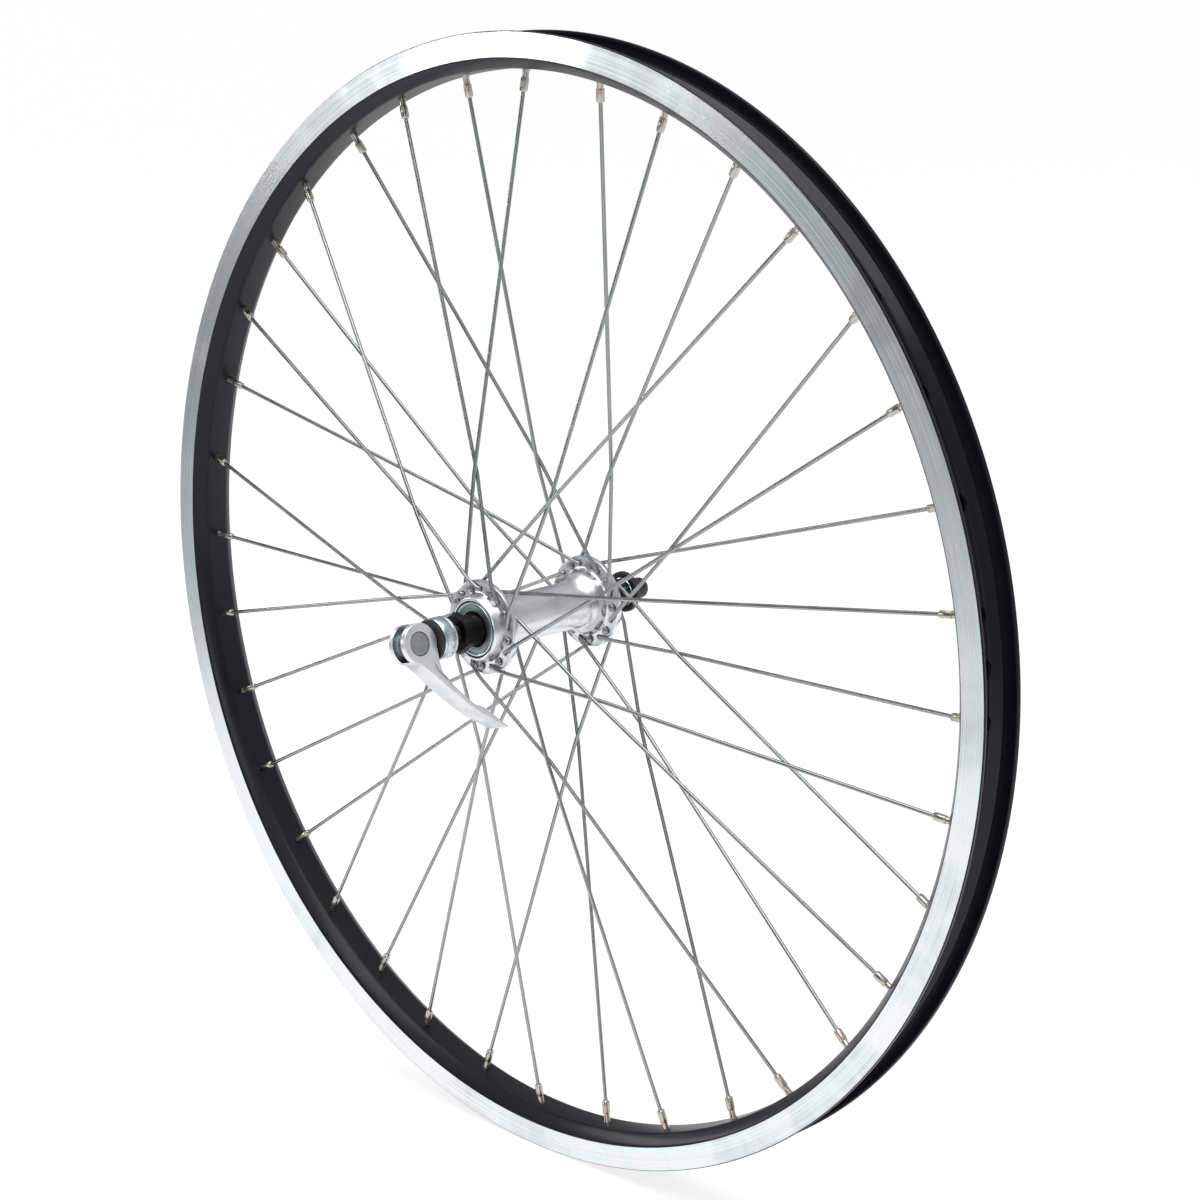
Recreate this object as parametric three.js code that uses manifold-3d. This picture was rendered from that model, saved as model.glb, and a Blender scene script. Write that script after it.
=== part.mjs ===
// A 24-inch bicycle front wheel without its tyre: a double-wall rim on 36 crossed spokes, a
// cup-and-cone hub on a hollow axle, and the quick-release skewer through it. Millimetres, +Z up.
// The wheel turns about the Y axis. The lever is on the -Y side, which is the bicycle's left.
import * as THREE from "three";
import { mergeVertices } from "three/addons/utils/BufferGeometryUtils.js";
import Module from "manifold-3d";

const wasm = await Module();
wasm.setup();

// ---------------------------------------------------------------- driving dimensions

const gap = 0.3; // between solids that touch, and round what passes through a hole
const chamfer = 0.4; // on turned edges

const beadSeatDiameter = 507; // the rim's nominal tyre size
const flangeHeight = 5.65; // side wall above the bead seat
const rimWidth = 23.6; // across the two brake tracks
const rimDepth = 16.1; // from the outer edge in to the spoke bed
const trackHeight = 11.15; // machined brake track
const bedWidth = 13.6; // flat of the spoke bed
const bedWall = 1.8; // wall under the nipples
const tyreBedWall = 1.3; // wall under the tyre
const trackWall = 1.45; // brake walls
const coreWall = 1; // sides of the box section between them
const hookLip = 0.45; // how far the hook stands in over the bead
const hookDepth = 2.2; // of the hook below the outer edge
const wellWidth = 8.2; // floor of the tyre well
const wellMouth = 14.5; // between the bead seats
const wellDepth = 2.9; // well floor below the bead seats
const slopeWall = 0.65; // thickens the walls where the section slopes
const valveHoleDiameter = 8.5;
const accessHoleDiameter = 7.3; // for the nipple key, in the tyre bed
const valveAngle = 3.24; // where the wheel stands at rest, in degrees from +X towards +Z

const spokeCount = 36;
const crossings = 3; // spokes of its own flange that each spoke crosses
const spokeDiameter = 1.8;
const elbowRadius = 1.65;
const spokeHoleRoom = 0.4; // round a spoke in the flange, for its elbow
const spokeHeadDiameter = 3.6;
const spokeHeadHeight = 1.1;
const nippleDiameter = 3.65;
const nippleNeckDiameter = 3.2;
const nippleHeadDiameter = 5.4;
const nippleHeadHeight = 1.8;
const nippleReach = 10; // below the spoke bed
const nippleKeyLength = 6.15; // squared part of that
const nippleOffset = 1.3; // holes stagger to each side of the middle plane

const overLocknuts = 100; // fits a front fork
const flangeInset = 17.35; // from the locknut's face to the middle of the flange
const flangeThickness = 2.9;
const barrelDiameter = 22.3;
const barrelBore = 17.2;
const housingWall = 2.1; // hub shell round the bearing cup, inside the flange
const housingReach = 7.25; // of that housing inside the flange
const housingRound = 2.2; // where it drops to the barrel
const shoulderWall = 3.45; // hub shell round the cup at the flange's outer face
const lipWall = 1.35;
const lipReach = 4.9; // of the bearing lip outside the flange
const flangeEdge = 3.6; // flange beyond the spoke holes

const axleDiameter = 9;
const axleReach = 1.8; // of the axle beyond each locknut
const coneWall = 1.5; // cone round the axle, under the race
const coneShoulder = 7.35; // cone cylinder outside the race
const coneDiameter = 14.5; // where it passes through the dust cap
const coneFlat = 13; // across its two flats for a thin key
const coneFlatWidth = 2;
const coneNose = 2.35; // cone inside the middle of the race
const ballDiameter = 4.76;
const ballCount = 10;
const cupWall = 0.45; // outside the race
const cupFloor = 1.45; // inside the race
const cupReach = 1; // of its floor inside the balls' circle
const retainerWidth = 1;
const footDiameter = 14.5; // round foot of the locknut, against the cone
const footThickness = 1.1;
const locknutAcross = 16.5; // across flats
const locknutThickness = 3.8; // of the hexagon
const locknutChamfer = 1.1; // on the outer corners
const dustCapThickness = 1.45;
const dustCapRoom = 0.7; // round the cone

const rodDiameter = 5;
const rodRoom = 0.5; // round the rod in the axle
const rodSetBack = 1; // rod ends below the pin's surface and back from the nut's end
const forkSpace = 5.8; // from a locknut to the clamping face beyond it
const springWire = 0.8;
const springTurns = 3;
const springInset = 2.7; // its widest coil inside the collar's edge
const collarDiameter = 19;
const collarLength = 7.45;
const padThickness = 1.2;
const padRim = 0.3; // pad beyond the collar
const padSpigotDiameter = 13.6;
const padSpigotDepth = 1.5;
const pinDiameter = 10.25;
const earWall = 3.1; // cam round the pin at its thinnest
const camThrow = 0.6; // cam centre off the pin's centre
const headWidth = 11.25; // across both ears
const armWidth = 12.7;
const pinTurn = 13.5; // the pin's own direction, in degrees from +X towards +Z
const nutFlangeDiameter = 19.4;
const nutFlangeThickness = 3.3;
const nutWaistDiameter = 9;
const nutBodyDiameter = 10;
const nutLength = 13.8;
const nutTaper = 2.4; // from its flange down to its waist
const nutWaistLength = 1;
const nutRound = 2; // of its outer end
const insertDiameter = 13.6;
const insertThickness = 2.2;

// ---------------------------------------------------------------- sizes that follow

const outerRadius = beadSeatDiameter / 2 + flangeHeight;
const bedRadius = outerRadius - rimDepth;
const pitch = 360 / spokeCount;
const holePitch = 2 * pitch;
const span = crossings * holePitch; // from a spoke's hub hole round to its nipple
const lacedAt = (crossings - 0.5) * holePitch; // from the hub hole round to the last crossing

const spokeRadius = spokeDiameter / 2;
const axleRadius = axleDiameter / 2;
const ballRadius = ballDiameter / 2;
const raceRadius = ballRadius + gap;
const boreRadius = axleRadius + gap;
const ballCircle = boreRadius + coneWall + raceRadius;
const cupRadius = ballCircle + raceRadius + cupWall;
const seatRadius = cupRadius + gap;

const locknutFace = overLocknuts / 2;
const axleEnd = locknutFace + axleReach;
const locknutBack = locknutFace - locknutThickness;
const footBack = locknutBack - footThickness;
const coneFace = footBack - gap;
const ballPlane = coneFace - coneShoulder - raceRadius;
const cupBack = ballPlane - raceRadius - cupFloor;
const cupFace = ballPlane + ballRadius;
const dustCapBack = cupFace + gap;
const flangeMiddle = locknutFace - flangeInset;
const flangeOut = flangeMiddle + flangeThickness / 2;
const flangeIn = flangeMiddle - flangeThickness / 2;
const lipFace = flangeOut + lipReach;
const shoulderRadius = seatRadius + shoulderWall;
const holeCircle = shoulderRadius + spokeHeadDiameter / 2 + gap;
const flangeRadius = holeCircle + flangeEdge;
const spokeHoleRadius = spokeRadius + spokeHoleRoom;

const rodRadius = rodDiameter / 2;
const rodBore = rodRadius + gap;
const clampFace = locknutFace + forkSpace;
const collarEnd = clampFace + collarLength;
const padFace = collarEnd + gap + padThickness;
const camRadius = pinDiameter / 2 + gap + earWall + camThrow;
const camReach = camRadius + camThrow;
const pinPlane = padFace + gap + camReach;
const rodStart = rodSetBack - pinPlane - pinDiameter / 2;
const nutEnd = clampFace + nutLength;
const axleBore = rodRadius + rodRoom;

// ---------------------------------------------------------------- making solids

const radians = THREE.MathUtils.degToRad;

// A geometry's closed surface as a solid, with the copies of each corner merged.
function solid(geometry) {
  const bare = geometry.clone();
  bare.deleteAttribute("normal");
  bare.deleteAttribute("uv");
  const merged = mergeVertices(bare, 1e-3);
  const index = merged.index.array;
  const triVerts = [];
  for (let i = 0; i < index.length; i += 3) {
    const [a, b, c] = index.slice(i, i + 3);
    if (a !== b && b !== c && c !== a) triVerts.push(a, b, c);
  }
  const vertProperties = merged.attributes.position.array;
  const mesh = new wasm.Mesh({ numProp: 3, vertProperties, triVerts: new Uint32Array(triVerts) });
  return new wasm.Manifold(mesh);
}

const joined = (first, ...others) => others.reduce((all, one) => all.add(one), first);
const cut = (first, ...others) => others.reduce((rest, one) => rest.subtract(one), first);

const wheelGroup = new THREE.Group();

// A solid becomes a named mesh in the finish given as [colour, roughness, metalness].
function place(name, body, [color, roughness, metalness]) {
  const { vertProperties, triVerts } = body.getMesh();
  const geometry = new THREE.BufferGeometry();
  geometry.setAttribute("position", new THREE.BufferAttribute(vertProperties, 3));
  geometry.setIndex(new THREE.BufferAttribute(triVerts, 1));
  const shaded = geometry.toNonIndexed();
  shaded.computeVertexNormals();
  const mesh = new THREE.Mesh(shaded, new THREE.MeshStandardMaterial({ color, roughness, metalness }));
  mesh.name = name;
  wheelGroup.add(mesh);
}

// A profile of [radius, place along Y] points turned about the Y axis. side -1 mirrors it, and
// start is where the first facet begins.
function turned(profile, segments, side = 1, start = 0) {
  const points = profile.map(([radius, along]) => new THREE.Vector2(radius, side * along));
  if (THREE.ShapeUtils.area(points) < 0) points.reverse();
  points.push(points[0].clone());
  return solid(new THREE.LatheGeometry(points, segments, start));
}

// A ring between two radii and two places along the axis.
function ring(inner, outer, from, to, segments, side = 1) {
  return turned([[inner, from], [outer, from], [outer, to], [inner, to]], segments, side);
}

const Y = new THREE.Vector3(0, 1, 0);

// A profile of [radius, distance] points turned about the line from a point in a direction.
function turnedOn(origin, direction, profile, segments) {
  const points = profile.map(([radius, distance]) => new THREE.Vector2(radius, distance));
  const geometry = new THREE.LatheGeometry(points, segments);
  geometry.applyQuaternion(new THREE.Quaternion().setFromUnitVectors(Y, direction));
  return solid(geometry.translate(...origin.toArray()));
}

// A round rod between two points.
function rod(from, to, radius, segments) {
  const along = to.clone().sub(from);
  const length = along.length();
  return turnedOn(from, along.normalize(), [[0, 0], [radius, 0], [radius, length], [0, length]], segments);
}

// The point at a radius, an angle from +X towards +Z in degrees, and a place along Y.
function polar(radius, angle, along) {
  return new THREE.Vector3(radius * Math.cos(radians(angle)), along, radius * Math.sin(radians(angle)));
}

// An arc of points round [radius, along], from one angle to another, as profile points.
function arc(centre, radius, from, to, steps) {
  const points = [];
  for (let i = 0; i <= steps; i += 1) {
    const angle = radians(from + ((to - from) * i) / steps);
    points.push([centre[0] + radius * Math.cos(angle), centre[1] + radius * Math.sin(angle)]);
  }
  return points;
}

// A path through corner points, one step of the sweep for each stretch between them.
class CornerPath extends THREE.Curve {
  constructor(corners) {
    super();
    this.corners = corners;
  }

  getPoint(t) {
    const at = t * (this.corners.length - 1);
    const i = Math.min(Math.floor(at), this.corners.length - 2);
    return this.corners[i].clone().lerp(this.corners[i + 1], at - i);
  }

  getPointAt(u) {
    return this.getPoint(u);
  }

  getTangentAt(u) {
    const last = this.corners.length - 1;
    const i = Math.round(u * last);
    const before = this.corners[Math.max(i - 1, 0)];
    const after = this.corners[Math.min(i + 1, last)];
    return after.clone().sub(before).normalize();
  }
}

// A round wire with its ends closed, along corner points.
function wire(corners, radius, sides) {
  const section = new THREE.Shape();
  for (let i = 0; i < sides; i += 1) {
    const angle = (2 * Math.PI * i) / sides;
    const corner = [radius * Math.cos(angle), radius * Math.sin(angle)];
    if (i === 0) section.moveTo(...corner);
    else section.lineTo(...corner);
  }
  const steps = corners.length - 1;
  return solid(new THREE.ExtrudeGeometry(section, { steps, extrudePath: new CornerPath(corners) }));
}

// ---------------------------------------------------------------- finishes

const blackAnodised = [0x17181a, 0.35, 0.6];
const machinedAluminium = [0xb4bcc2, 0.35, 0.9];
const spokeSteel = [0x8d9294, 0.3, 0.9];
const polishedAluminium = [0xc9ced2, 0.25, 0.9];
const bearingSteel = [0xb9bcc0, 0.2, 1];
const blackSteel = [0x1b1a1c, 0.5, 0.6];
const sealGrey = [0x6f7b78, 0.5, 0.3];
const zincPlate = [0xb7c6cc, 0.25, 0.9];
const castAluminium = [0xd6d9dc, 0.35, 0.8];
const greyPlastic = [0x94999c, 0.5, 0.1];
const blackPlastic = [0x161616, 0.45, 0];

// ---------------------------------------------------------------- spokes

// Each spoke's side (-1 is left), whether it leaves by the flange's outer face, and which way
// round it runs from the hub, by its number modulo 4.
const lacing = [
  { side: -1, outside: false, turn: -1 },
  { side: 1, outside: false, turn: 1 },
  { side: -1, outside: true, turn: 1 },
  { side: 1, outside: true, turn: -1 },
];

// How far round from its hub hole a spoke lies at each radius is the straight line between its
// ends, so the radius of that line at an angle round from the hole is:
function lineRadius(angle) {
  const hubPart = holeCircle * Math.sin(radians(angle));
  const rimPart = bedRadius * Math.sin(radians(span - angle));
  return (holeCircle * bedRadius * Math.sin(radians(span))) / (hubPart + rimPart);
}

// The distance along that line from the hub hole to the point at an angle round from it.
function lineLength(angle) {
  return polar(lineRadius(angle), angle, 0).distanceTo(polar(holeCircle, 0, 0));
}

const runOutside = flangeOut + gap + spokeRadius;
const runInside = flangeIn - gap - spokeRadius;

// Where the last crossing lies along Y. The two spokes change sides there: the one that left
// the flange outside passes inside.
function crossingPlane(outside) {
  const share = lineLength(lacedAt) / lineLength(span);
  const middle = THREE.MathUtils.lerp((runOutside + runInside) / 2, nippleOffset, share);
  const half = (spokeDiameter + gap) / 2;
  return outside ? middle - half : middle + half;
}

// The angle round from the hub hole at which a spoke has passed the flange's edge.
function edgeAngle() {
  let angle = 0;
  while (lineRadius(angle) < flangeRadius + spokeRadius) angle += 0.5;
  return angle;
}

// The wire's centre line, as corner points from its head to the nipple's seat.
function spokeCorners({ side, outside, turn }, nippleAngle) {
  const holeAngle = nippleAngle - turn * span;
  const at = (angle, along) => polar(lineRadius(angle), holeAngle + turn * angle, side * along);
  const headPlane = outside ? flangeIn - gap : flangeOut + gap;
  const runPlane = outside ? runOutside : runInside;
  const inward = outside ? 1 : -1;
  const ahead = at(edgeAngle(), runPlane).sub(at(0, runPlane)).normalize();
  const corners = [at(0, headPlane - (inward * spokeHeadHeight) / 2)];
  for (const bend of [0, 45, 90]) {
    const forward = elbowRadius * (1 - Math.cos(radians(bend)));
    const back = elbowRadius * (1 - Math.sin(radians(bend)));
    corners.push(at(0, runPlane - inward * back).addScaledVector(ahead, forward));
  }
  if (outside) corners.push(at(edgeAngle(), runPlane));
  corners.push(at(lacedAt, crossingPlane(outside)));
  corners.push(at(span, nippleOffset));
  return corners;
}

// The line of the nipple of spoke number n: its seat on the spoke bed, and the way out of it.
function nippleLine(corners) {
  const seat = corners[corners.length - 1];
  const outward = seat.clone().sub(corners[corners.length - 2]).normalize();
  return { seat, outward };
}

const nippleAngleOf = (number) => valveAngle + ((spokeCount - 3) / 2 - number) * pitch;

function spoke(number) {
  const rule = lacing[number % 4];
  const corners = spokeCorners(rule, nippleAngleOf(number));
  const { seat, outward } = nippleLine(corners);
  const along = (distance) => seat.clone().addScaledVector(outward, distance);
  corners[corners.length - 1] = along(bedWall);
  const headSide = rule.side * (rule.outside ? -1 : 1);
  const headFoot = corners[0].clone().addScaledVector(Y, (-headSide * spokeHeadHeight) / 2);
  const headTop = headFoot.clone().addScaledVector(Y, headSide * spokeHeadHeight);
  const underHead = bedWall + gap;
  const keyEnd = nippleKeyLength - nippleReach;
  const nipple = [
    [0, -nippleReach],
    [nippleDiameter / 2, -nippleReach],
    [nippleDiameter / 2, keyEnd],
    [nippleNeckDiameter / 2, keyEnd],
    [nippleNeckDiameter / 2, underHead],
    [nippleHeadDiameter / 2, underHead],
    [nippleHeadDiameter / 2, underHead + nippleHeadHeight],
    [0, underHead + nippleHeadHeight],
  ];
  return joined(
    wire(corners, spokeRadius, 5),
    rod(headFoot, headTop, spokeHeadDiameter / 2, 6),
    turnedOn(seat, outward, nipple, 6),
  );
}

// ---------------------------------------------------------------- rim

const rimSegments = spokeCount;
const rimStart = radians(90 - valveAngle); // so that each spoke hole is in the middle of a facet

// A section given for the right half only, with its mirror image joined on.
function bothHalves(right) {
  const left = right.map(([radius, along]) => [radius, -along]).reverse();
  return [...right, ...left];
}

// The box section between the brake walls: the spoke bed inside and the tyre well outside.
function coreSection() {
  const seat = beadSeatDiameter / 2;
  const trackInner = outerRadius - trackHeight - gap;
  const slopeEnd = trackInner - chamfer;
  const half = rimWidth / 2;
  return bothHalves([
    [bedRadius, bedWidth / 2],
    [slopeEnd, half],
    [trackInner, half],
    [trackInner, half - trackWall - gap],
    [seat, half - trackWall - gap],
    [seat, wellMouth / 2],
    [seat - wellDepth, wellWidth / 2],
  ]);
}

function rimChamber() {
  const seat = beadSeatDiameter / 2 - tyreBedWall;
  const half = rimWidth / 2 - trackWall - gap - coreWall;
  return bothHalves([
    [bedRadius + bedWall, bedWidth / 2 - slopeWall],
    [outerRadius - trackHeight, half],
    [seat, half],
    [seat, wellMouth / 2 + slopeWall],
    [seat - wellDepth, wellWidth / 2 + slopeWall],
  ]);
}

// A brake wall, with the hook that holds the tyre's bead at its outer edge.
function brakeWall(side) {
  const face = rimWidth / 2;
  const back = face - trackWall;
  const section = [
    [outerRadius - trackHeight, back],
    [outerRadius - trackHeight, face],
    [outerRadius, face],
    [outerRadius, back - hookLip],
    [outerRadius - hookDepth, back],
  ];
  return turned(section, rimSegments, side, rimStart);
}

function rim() {
  const holes = [];
  for (let number = 1; number <= spokeCount; number += 1) {
    const { seat, outward } = nippleLine(spokeCorners(lacing[number % 4], nippleAngleOf(number)));
    const along = (distance) => seat.clone().addScaledVector(outward, distance);
    const underBed = along(-2);
    const inChamber = along(bedWall + 1);
    holes.push(rod(underBed, inChamber, nippleNeckDiameter / 2 + gap, 6));
    holes.push(rod(inChamber, along(rimDepth), accessHoleDiameter / 2, 6));
  }
  const valveFrom = polar(bedRadius - 2, valveAngle, 0);
  const valveTo = polar(outerRadius, valveAngle, 0);
  holes.push(rod(valveFrom, valveTo, valveHoleDiameter / 2, 12));
  const core = turned(coreSection(), rimSegments, 1, rimStart);
  return cut(core, turned(rimChamber(), rimSegments, 1, rimStart), ...holes);
}

// ---------------------------------------------------------------- hub

function hubShell() {
  const barrel = barrelDiameter / 2;
  const housing = seatRadius + housingWall;
  const mouth = cupFace + gap / 2;
  const start = flangeIn - housingReach;
  const right = [
    [barrel, start - housingRound / 2],
    [housing - housingRound / 3, start + housingRound / 4],
    [housing, start + housingRound],
    [housing, flangeIn],
    [flangeRadius, flangeIn],
    [flangeRadius, flangeOut],
    [shoulderRadius, flangeOut],
    [seatRadius + lipWall + gap, lipFace],
    [seatRadius + 2 * gap, lipFace],
    [seatRadius + 2 * gap, mouth],
    [seatRadius, mouth],
    [seatRadius, cupBack - gap],
    [barrelBore / 2, cupBack - gap],
  ];
  const shell = turned(bothHalves(right), spokeCount);
  const holes = [];
  for (let number = 1; number <= spokeCount; number += 1) {
    const { side, turn } = lacing[number % 4];
    const angle = nippleAngleOf(number) - turn * span;
    const from = polar(holeCircle, angle, side * (flangeIn - 1));
    holes.push(rod(from, polar(holeCircle, angle, side * (flangeOut + 1)), spokeHoleRadius, 6));
  }
  return cut(shell, ...holes);
}

function cup(side) {
  const race = arc([ballCircle, ballPlane], raceRadius, 0, -80, 3);
  const hole = ballCircle - cupReach;
  const floor = ballPlane - raceRadius;
  return turned(
    [
      [cupRadius, cupBack],
      [cupRadius, cupFace],
      [ballCircle + raceRadius, cupFace],
      ...race,
      [hole, floor],
      [hole, cupBack],
    ],
    20,
    side,
  );
}

function cone(side) {
  const race = arc([ballCircle, ballPlane], raceRadius, 180, 110, 3);
  const nose = ballPlane - coneNose;
  const narrow = ballCircle - raceRadius;
  const neck = coneDiameter / 2;
  const body = turned(
    [
      [boreRadius, nose],
      [narrow - 2 * chamfer, nose],
      [narrow, nose + 2 * chamfer],
      ...race,
      [neck, dustCapBack],
      [neck, coneFace],
      [boreRadius, coneFace],
    ],
    20,
    side,
  );
  const flat = new THREE.BoxGeometry(coneDiameter, coneFlatWidth, coneDiameter);
  const flatPlane = side * (dustCapBack + dustCapThickness + chamfer + coneFlatWidth / 2);
  const above = solid(flat.clone().translate(0, flatPlane, (coneFlat + coneDiameter) / 2));
  const below = solid(flat.clone().translate(0, flatPlane, -(coneFlat + coneDiameter) / 2));
  return cut(body, above, below);
}

function balls(side) {
  const half = retainerWidth / 2;
  const plane = ballPlane;
  const retainer = ring(ballCircle - half, ballCircle + half, plane - half, plane + half, 20, side);
  const round = [];
  for (let i = 0; i < ballCount; i += 1) {
    const geometry = new THREE.IcosahedronGeometry(ballRadius);
    const middle = polar(ballCircle, (360 * i) / ballCount, side * plane);
    geometry.translate(...middle.toArray());
    round.push(solid(geometry));
  }
  return joined(retainer, ...round);
}

function dustCap(side) {
  const inner = coneDiameter / 2 + dustCapRoom;
  const outer = seatRadius;
  const face = dustCapBack + dustCapThickness;
  return turned(
    [
      [inner, dustCapBack],
      [outer, dustCapBack],
      [outer, face - chamfer],
      [outer - chamfer, face],
      [inner, face],
    ],
    20,
    side,
  );
}

function axle() {
  return ring(axleBore, axleRadius, -axleEnd, axleEnd, 16);
}

// A hexagon nut on a round foot, its outer corners chamfered.
function locknut(side) {
  const corner = locknutAcross / Math.sqrt(3);
  const foot = footDiameter / 2;
  const hexagon = turned(
    [
      [0, locknutBack],
      [corner, locknutBack],
      [corner, locknutFace],
      [0, locknutFace],
    ],
    6,
    side,
  );
  const envelope = turned(
    [
      [0, locknutBack],
      [corner, locknutBack],
      [corner, locknutFace - locknutChamfer],
      [locknutAcross / 2, locknutFace],
      [0, locknutFace],
    ],
    20,
    side,
  );
  const round = ring(0, foot, footBack, locknutBack + 0.1, 20, side);
  const bore = ring(0, boreRadius, footBack - 1, locknutFace + 1, 16, side);
  return cut(joined(hexagon.intersect(envelope), round), bore);
}

// ---------------------------------------------------------------- skewer

function skewerRod() {
  const end = nutEnd - rodSetBack;
  return turned([[0, rodStart], [rodRadius, rodStart], [rodRadius, end], [0, end]], 16);
}

// A conical spring from the axle's end out to the clamping face.
function spring(side) {
  const radius = springWire / 2;
  const from = axleEnd + gap + radius;
  const to = clampFace - 2 * gap - radius;
  const narrow = rodBore + gap + radius;
  const wide = collarDiameter / 2 - springInset;
  const steps = 10 * springTurns;
  const corners = [];
  for (let i = 0; i <= steps; i += 1) {
    const share = i / steps;
    const coil = THREE.MathUtils.lerp(narrow, wide, share);
    const along = THREE.MathUtils.lerp(from, to, share);
    corners.push(polar(coil, 360 * springTurns * share, side * along));
  }
  return wire(corners, radius, 5);
}

function collar() {
  const bore = rodBore;
  const recess = padSpigotDiameter / 2 + gap;
  return turned(
    [
      [bore, clampFace],
      [collarDiameter / 2 - chamfer, clampFace],
      [collarDiameter / 2, clampFace + chamfer],
      [collarDiameter / 2, collarEnd],
      [recess, collarEnd],
      [recess, collarEnd - padSpigotDepth],
      [bore, collarEnd - padSpigotDepth],
    ],
    24,
    -1,
  );
}

function pad() {
  const outer = collarDiameter / 2 + padRim;
  const spigot = padSpigotDiameter / 2;
  const back = collarEnd + gap;
  return turned(
    [
      [rodBore, back - padSpigotDepth + gap],
      [spigot, back - padSpigotDepth + gap],
      [spigot, back],
      [outer, back],
      [outer, padFace - chamfer],
      [outer - chamfer, padFace],
      [rodBore, padFace],
    ],
    24,
    -1,
  );
}

// The lever's own frame: x along the arm's reach from the axle, y towards the wheel, z along
// the cam pin.
const leverFrame = new THREE.Matrix4()
  .makeTranslation(0, -pinPlane, 0)
  .multiply(new THREE.Matrix4().makeRotationY(radians(90 - pinTurn)));

function inLeverFrame(geometry) {
  return solid(geometry.applyMatrix4(leverFrame));
}

// A flat outline in the lever's frame, given its thickness along the pin.
function leverPlate(outline, width) {
  const shape = new THREE.Shape(outline.map(([x, y]) => new THREE.Vector2(x, y)));
  const geometry = new THREE.ExtrudeGeometry(shape, { depth: width, bevelEnabled: false });
  return inLeverFrame(geometry.translate(0, 0, -width / 2));
}

// A round bar along the pin.
function acrossLever(radius, length, segments, y = 0) {
  const geometry = new THREE.CylinderGeometry(radius, radius, length, segments);
  return inLeverFrame(geometry.rotateX(Math.PI / 2).translate(0, y, 0));
}

// The arm seen along the pin, from its root on the cam round its tip and back. The first
// number is the reach from the pin and the second stands from the cam's wheel side.
const armOutline = [
  [2.7, -4.55],
  [3.65, -0.35],
  [9.5, -0.75],
  [13.4, -0.25],
  [17.25, 1.2],
  [20.85, 3.65],
  [28.55, 10.5],
  [31.3, 13.05],
  [32.65, 15.4],
  [34.45, 18.75],
  [38.55, 23.05],
  [45.8, 30.2],
  [45.35, 28.85],
  [43.35, 26.1],
  [40.2, 21.4],
  [36.45, 16.35],
  [32.4, 11.6],
  [22.85, 2.2],
  [12.95, -7.05],
  [6, -14.15],
].map(([reach, rise]) => [reach, camReach + rise]);

// The rod passes between the ears from closed to fully open, so the slot goes round the cam
// from its wheel side to the outer end of the arm's root.
const slotOutline = [
  [-20, 20],
  [rodBore + rodRoom, 20],
  [rodBore + rodRoom, 1],
  [7.25, -5.45],
  [7.25, -20],
  [-20, -20],
];

function lever() {
  const cam = acrossLever(camRadius, headWidth, 20, camThrow);
  const arm = leverPlate(armOutline, armWidth);
  const armPastHead = cut(arm, acrossLever(camRadius, 2 * armWidth, 20, camThrow));
  const root = arm.intersect(acrossLever(camRadius + 0.01, headWidth, 20, camThrow));
  const slot = leverPlate(slotOutline, 2 * rodBore);
  const pinHole = acrossLever(pinDiameter / 2 + gap, 2 * armWidth, 16);
  return cut(joined(cam, root, armPastHead), slot, pinHole);
}

function camPin() {
  const pin = acrossLever(pinDiameter / 2, headWidth - gap, 16);
  const from = new THREE.Vector3(0, rodStart - 2 * rodSetBack, 0);
  return cut(pin, rod(from, new THREE.Vector3(0, -clampFace, 0), rodBore, 16));
}

function adjustingNut() {
  const flange = nutFlangeDiameter / 2;
  const recess = insertDiameter / 2 + gap;
  const floor = clampFace + insertThickness;
  const waist = clampFace + nutFlangeThickness;
  const body = nutBodyDiameter / 2;
  return turned(
    [
      [recess, clampFace],
      [flange - chamfer, clampFace],
      [flange, clampFace + chamfer],
      [flange, waist - nutTaper / 2],
      [nutWaistDiameter / 2, waist + nutTaper / 2],
      [nutWaistDiameter / 2, waist + nutTaper / 2 + nutWaistLength],
      [body, waist + nutTaper / 2 + 2 * nutWaistLength],
      [body, nutEnd - nutRound],
      [body - nutRound / 3, nutEnd - nutRound / 4],
      [body - nutRound, nutEnd],
      [rodBore, nutEnd],
      [rodBore, floor],
      [recess, floor],
    ],
    24,
  );
}

function nutInsert() {
  const face = clampFace - gap;
  return ring(rodBore, insertDiameter / 2, face, clampFace + insertThickness - gap, 24);
}

// ---------------------------------------------------------------- assembly

place("rim", rim(), blackAnodised);
for (let number = 1; number <= spokeCount; number += 1) {
  place(`spoke_${String(number).padStart(2, "0")}`, spoke(number), spokeSteel);
}
place("hub_shell", hubShell(), polishedAluminium);
place("axle", axle(), blackSteel);
for (const [name, side] of [["left", -1], ["right", 1]]) {
  place(`${name}_cup`, cup(side), bearingSteel);
  place(`${name}_balls`, balls(side), bearingSteel);
  place(`${name}_cone`, cone(side), blackSteel);
  place(`${name}_dust_cap`, dustCap(side), sealGrey);
  place(`${name}_locknut`, locknut(side), blackSteel);
  place(`${name}_spring`, spring(side), blackSteel);
  place(`${name}_brake_wall`, brakeWall(side), machinedAluminium);
}
place("skewer_rod", skewerRod(), zincPlate);
place("lever_collar", collar(), zincPlate);
place("cam_pad", pad(), blackPlastic);
place("cam_pin", camPin(), greyPlastic);
place("cam_lever", lever(), castAluminium);
place("nut_insert", nutInsert(), zincPlate);
place("adjusting_nut", adjustingNut(), blackPlastic);

export default wheelGroup;
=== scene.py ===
# %% [markdown]
# # A bicycle's front wheel
# The wheel has a black double-wall rim with bare aluminium brake tracks, thirty-six steel spokes
# crossed three times, a polished hub, and a quick-release skewer with a cam lever. The CAD model
# gives every piece's place and the bodies that move. This lesson gives each piece its fine shape
# and its finish.

import math

import bmesh
import bpy
from mathutils import Matrix, Vector


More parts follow.
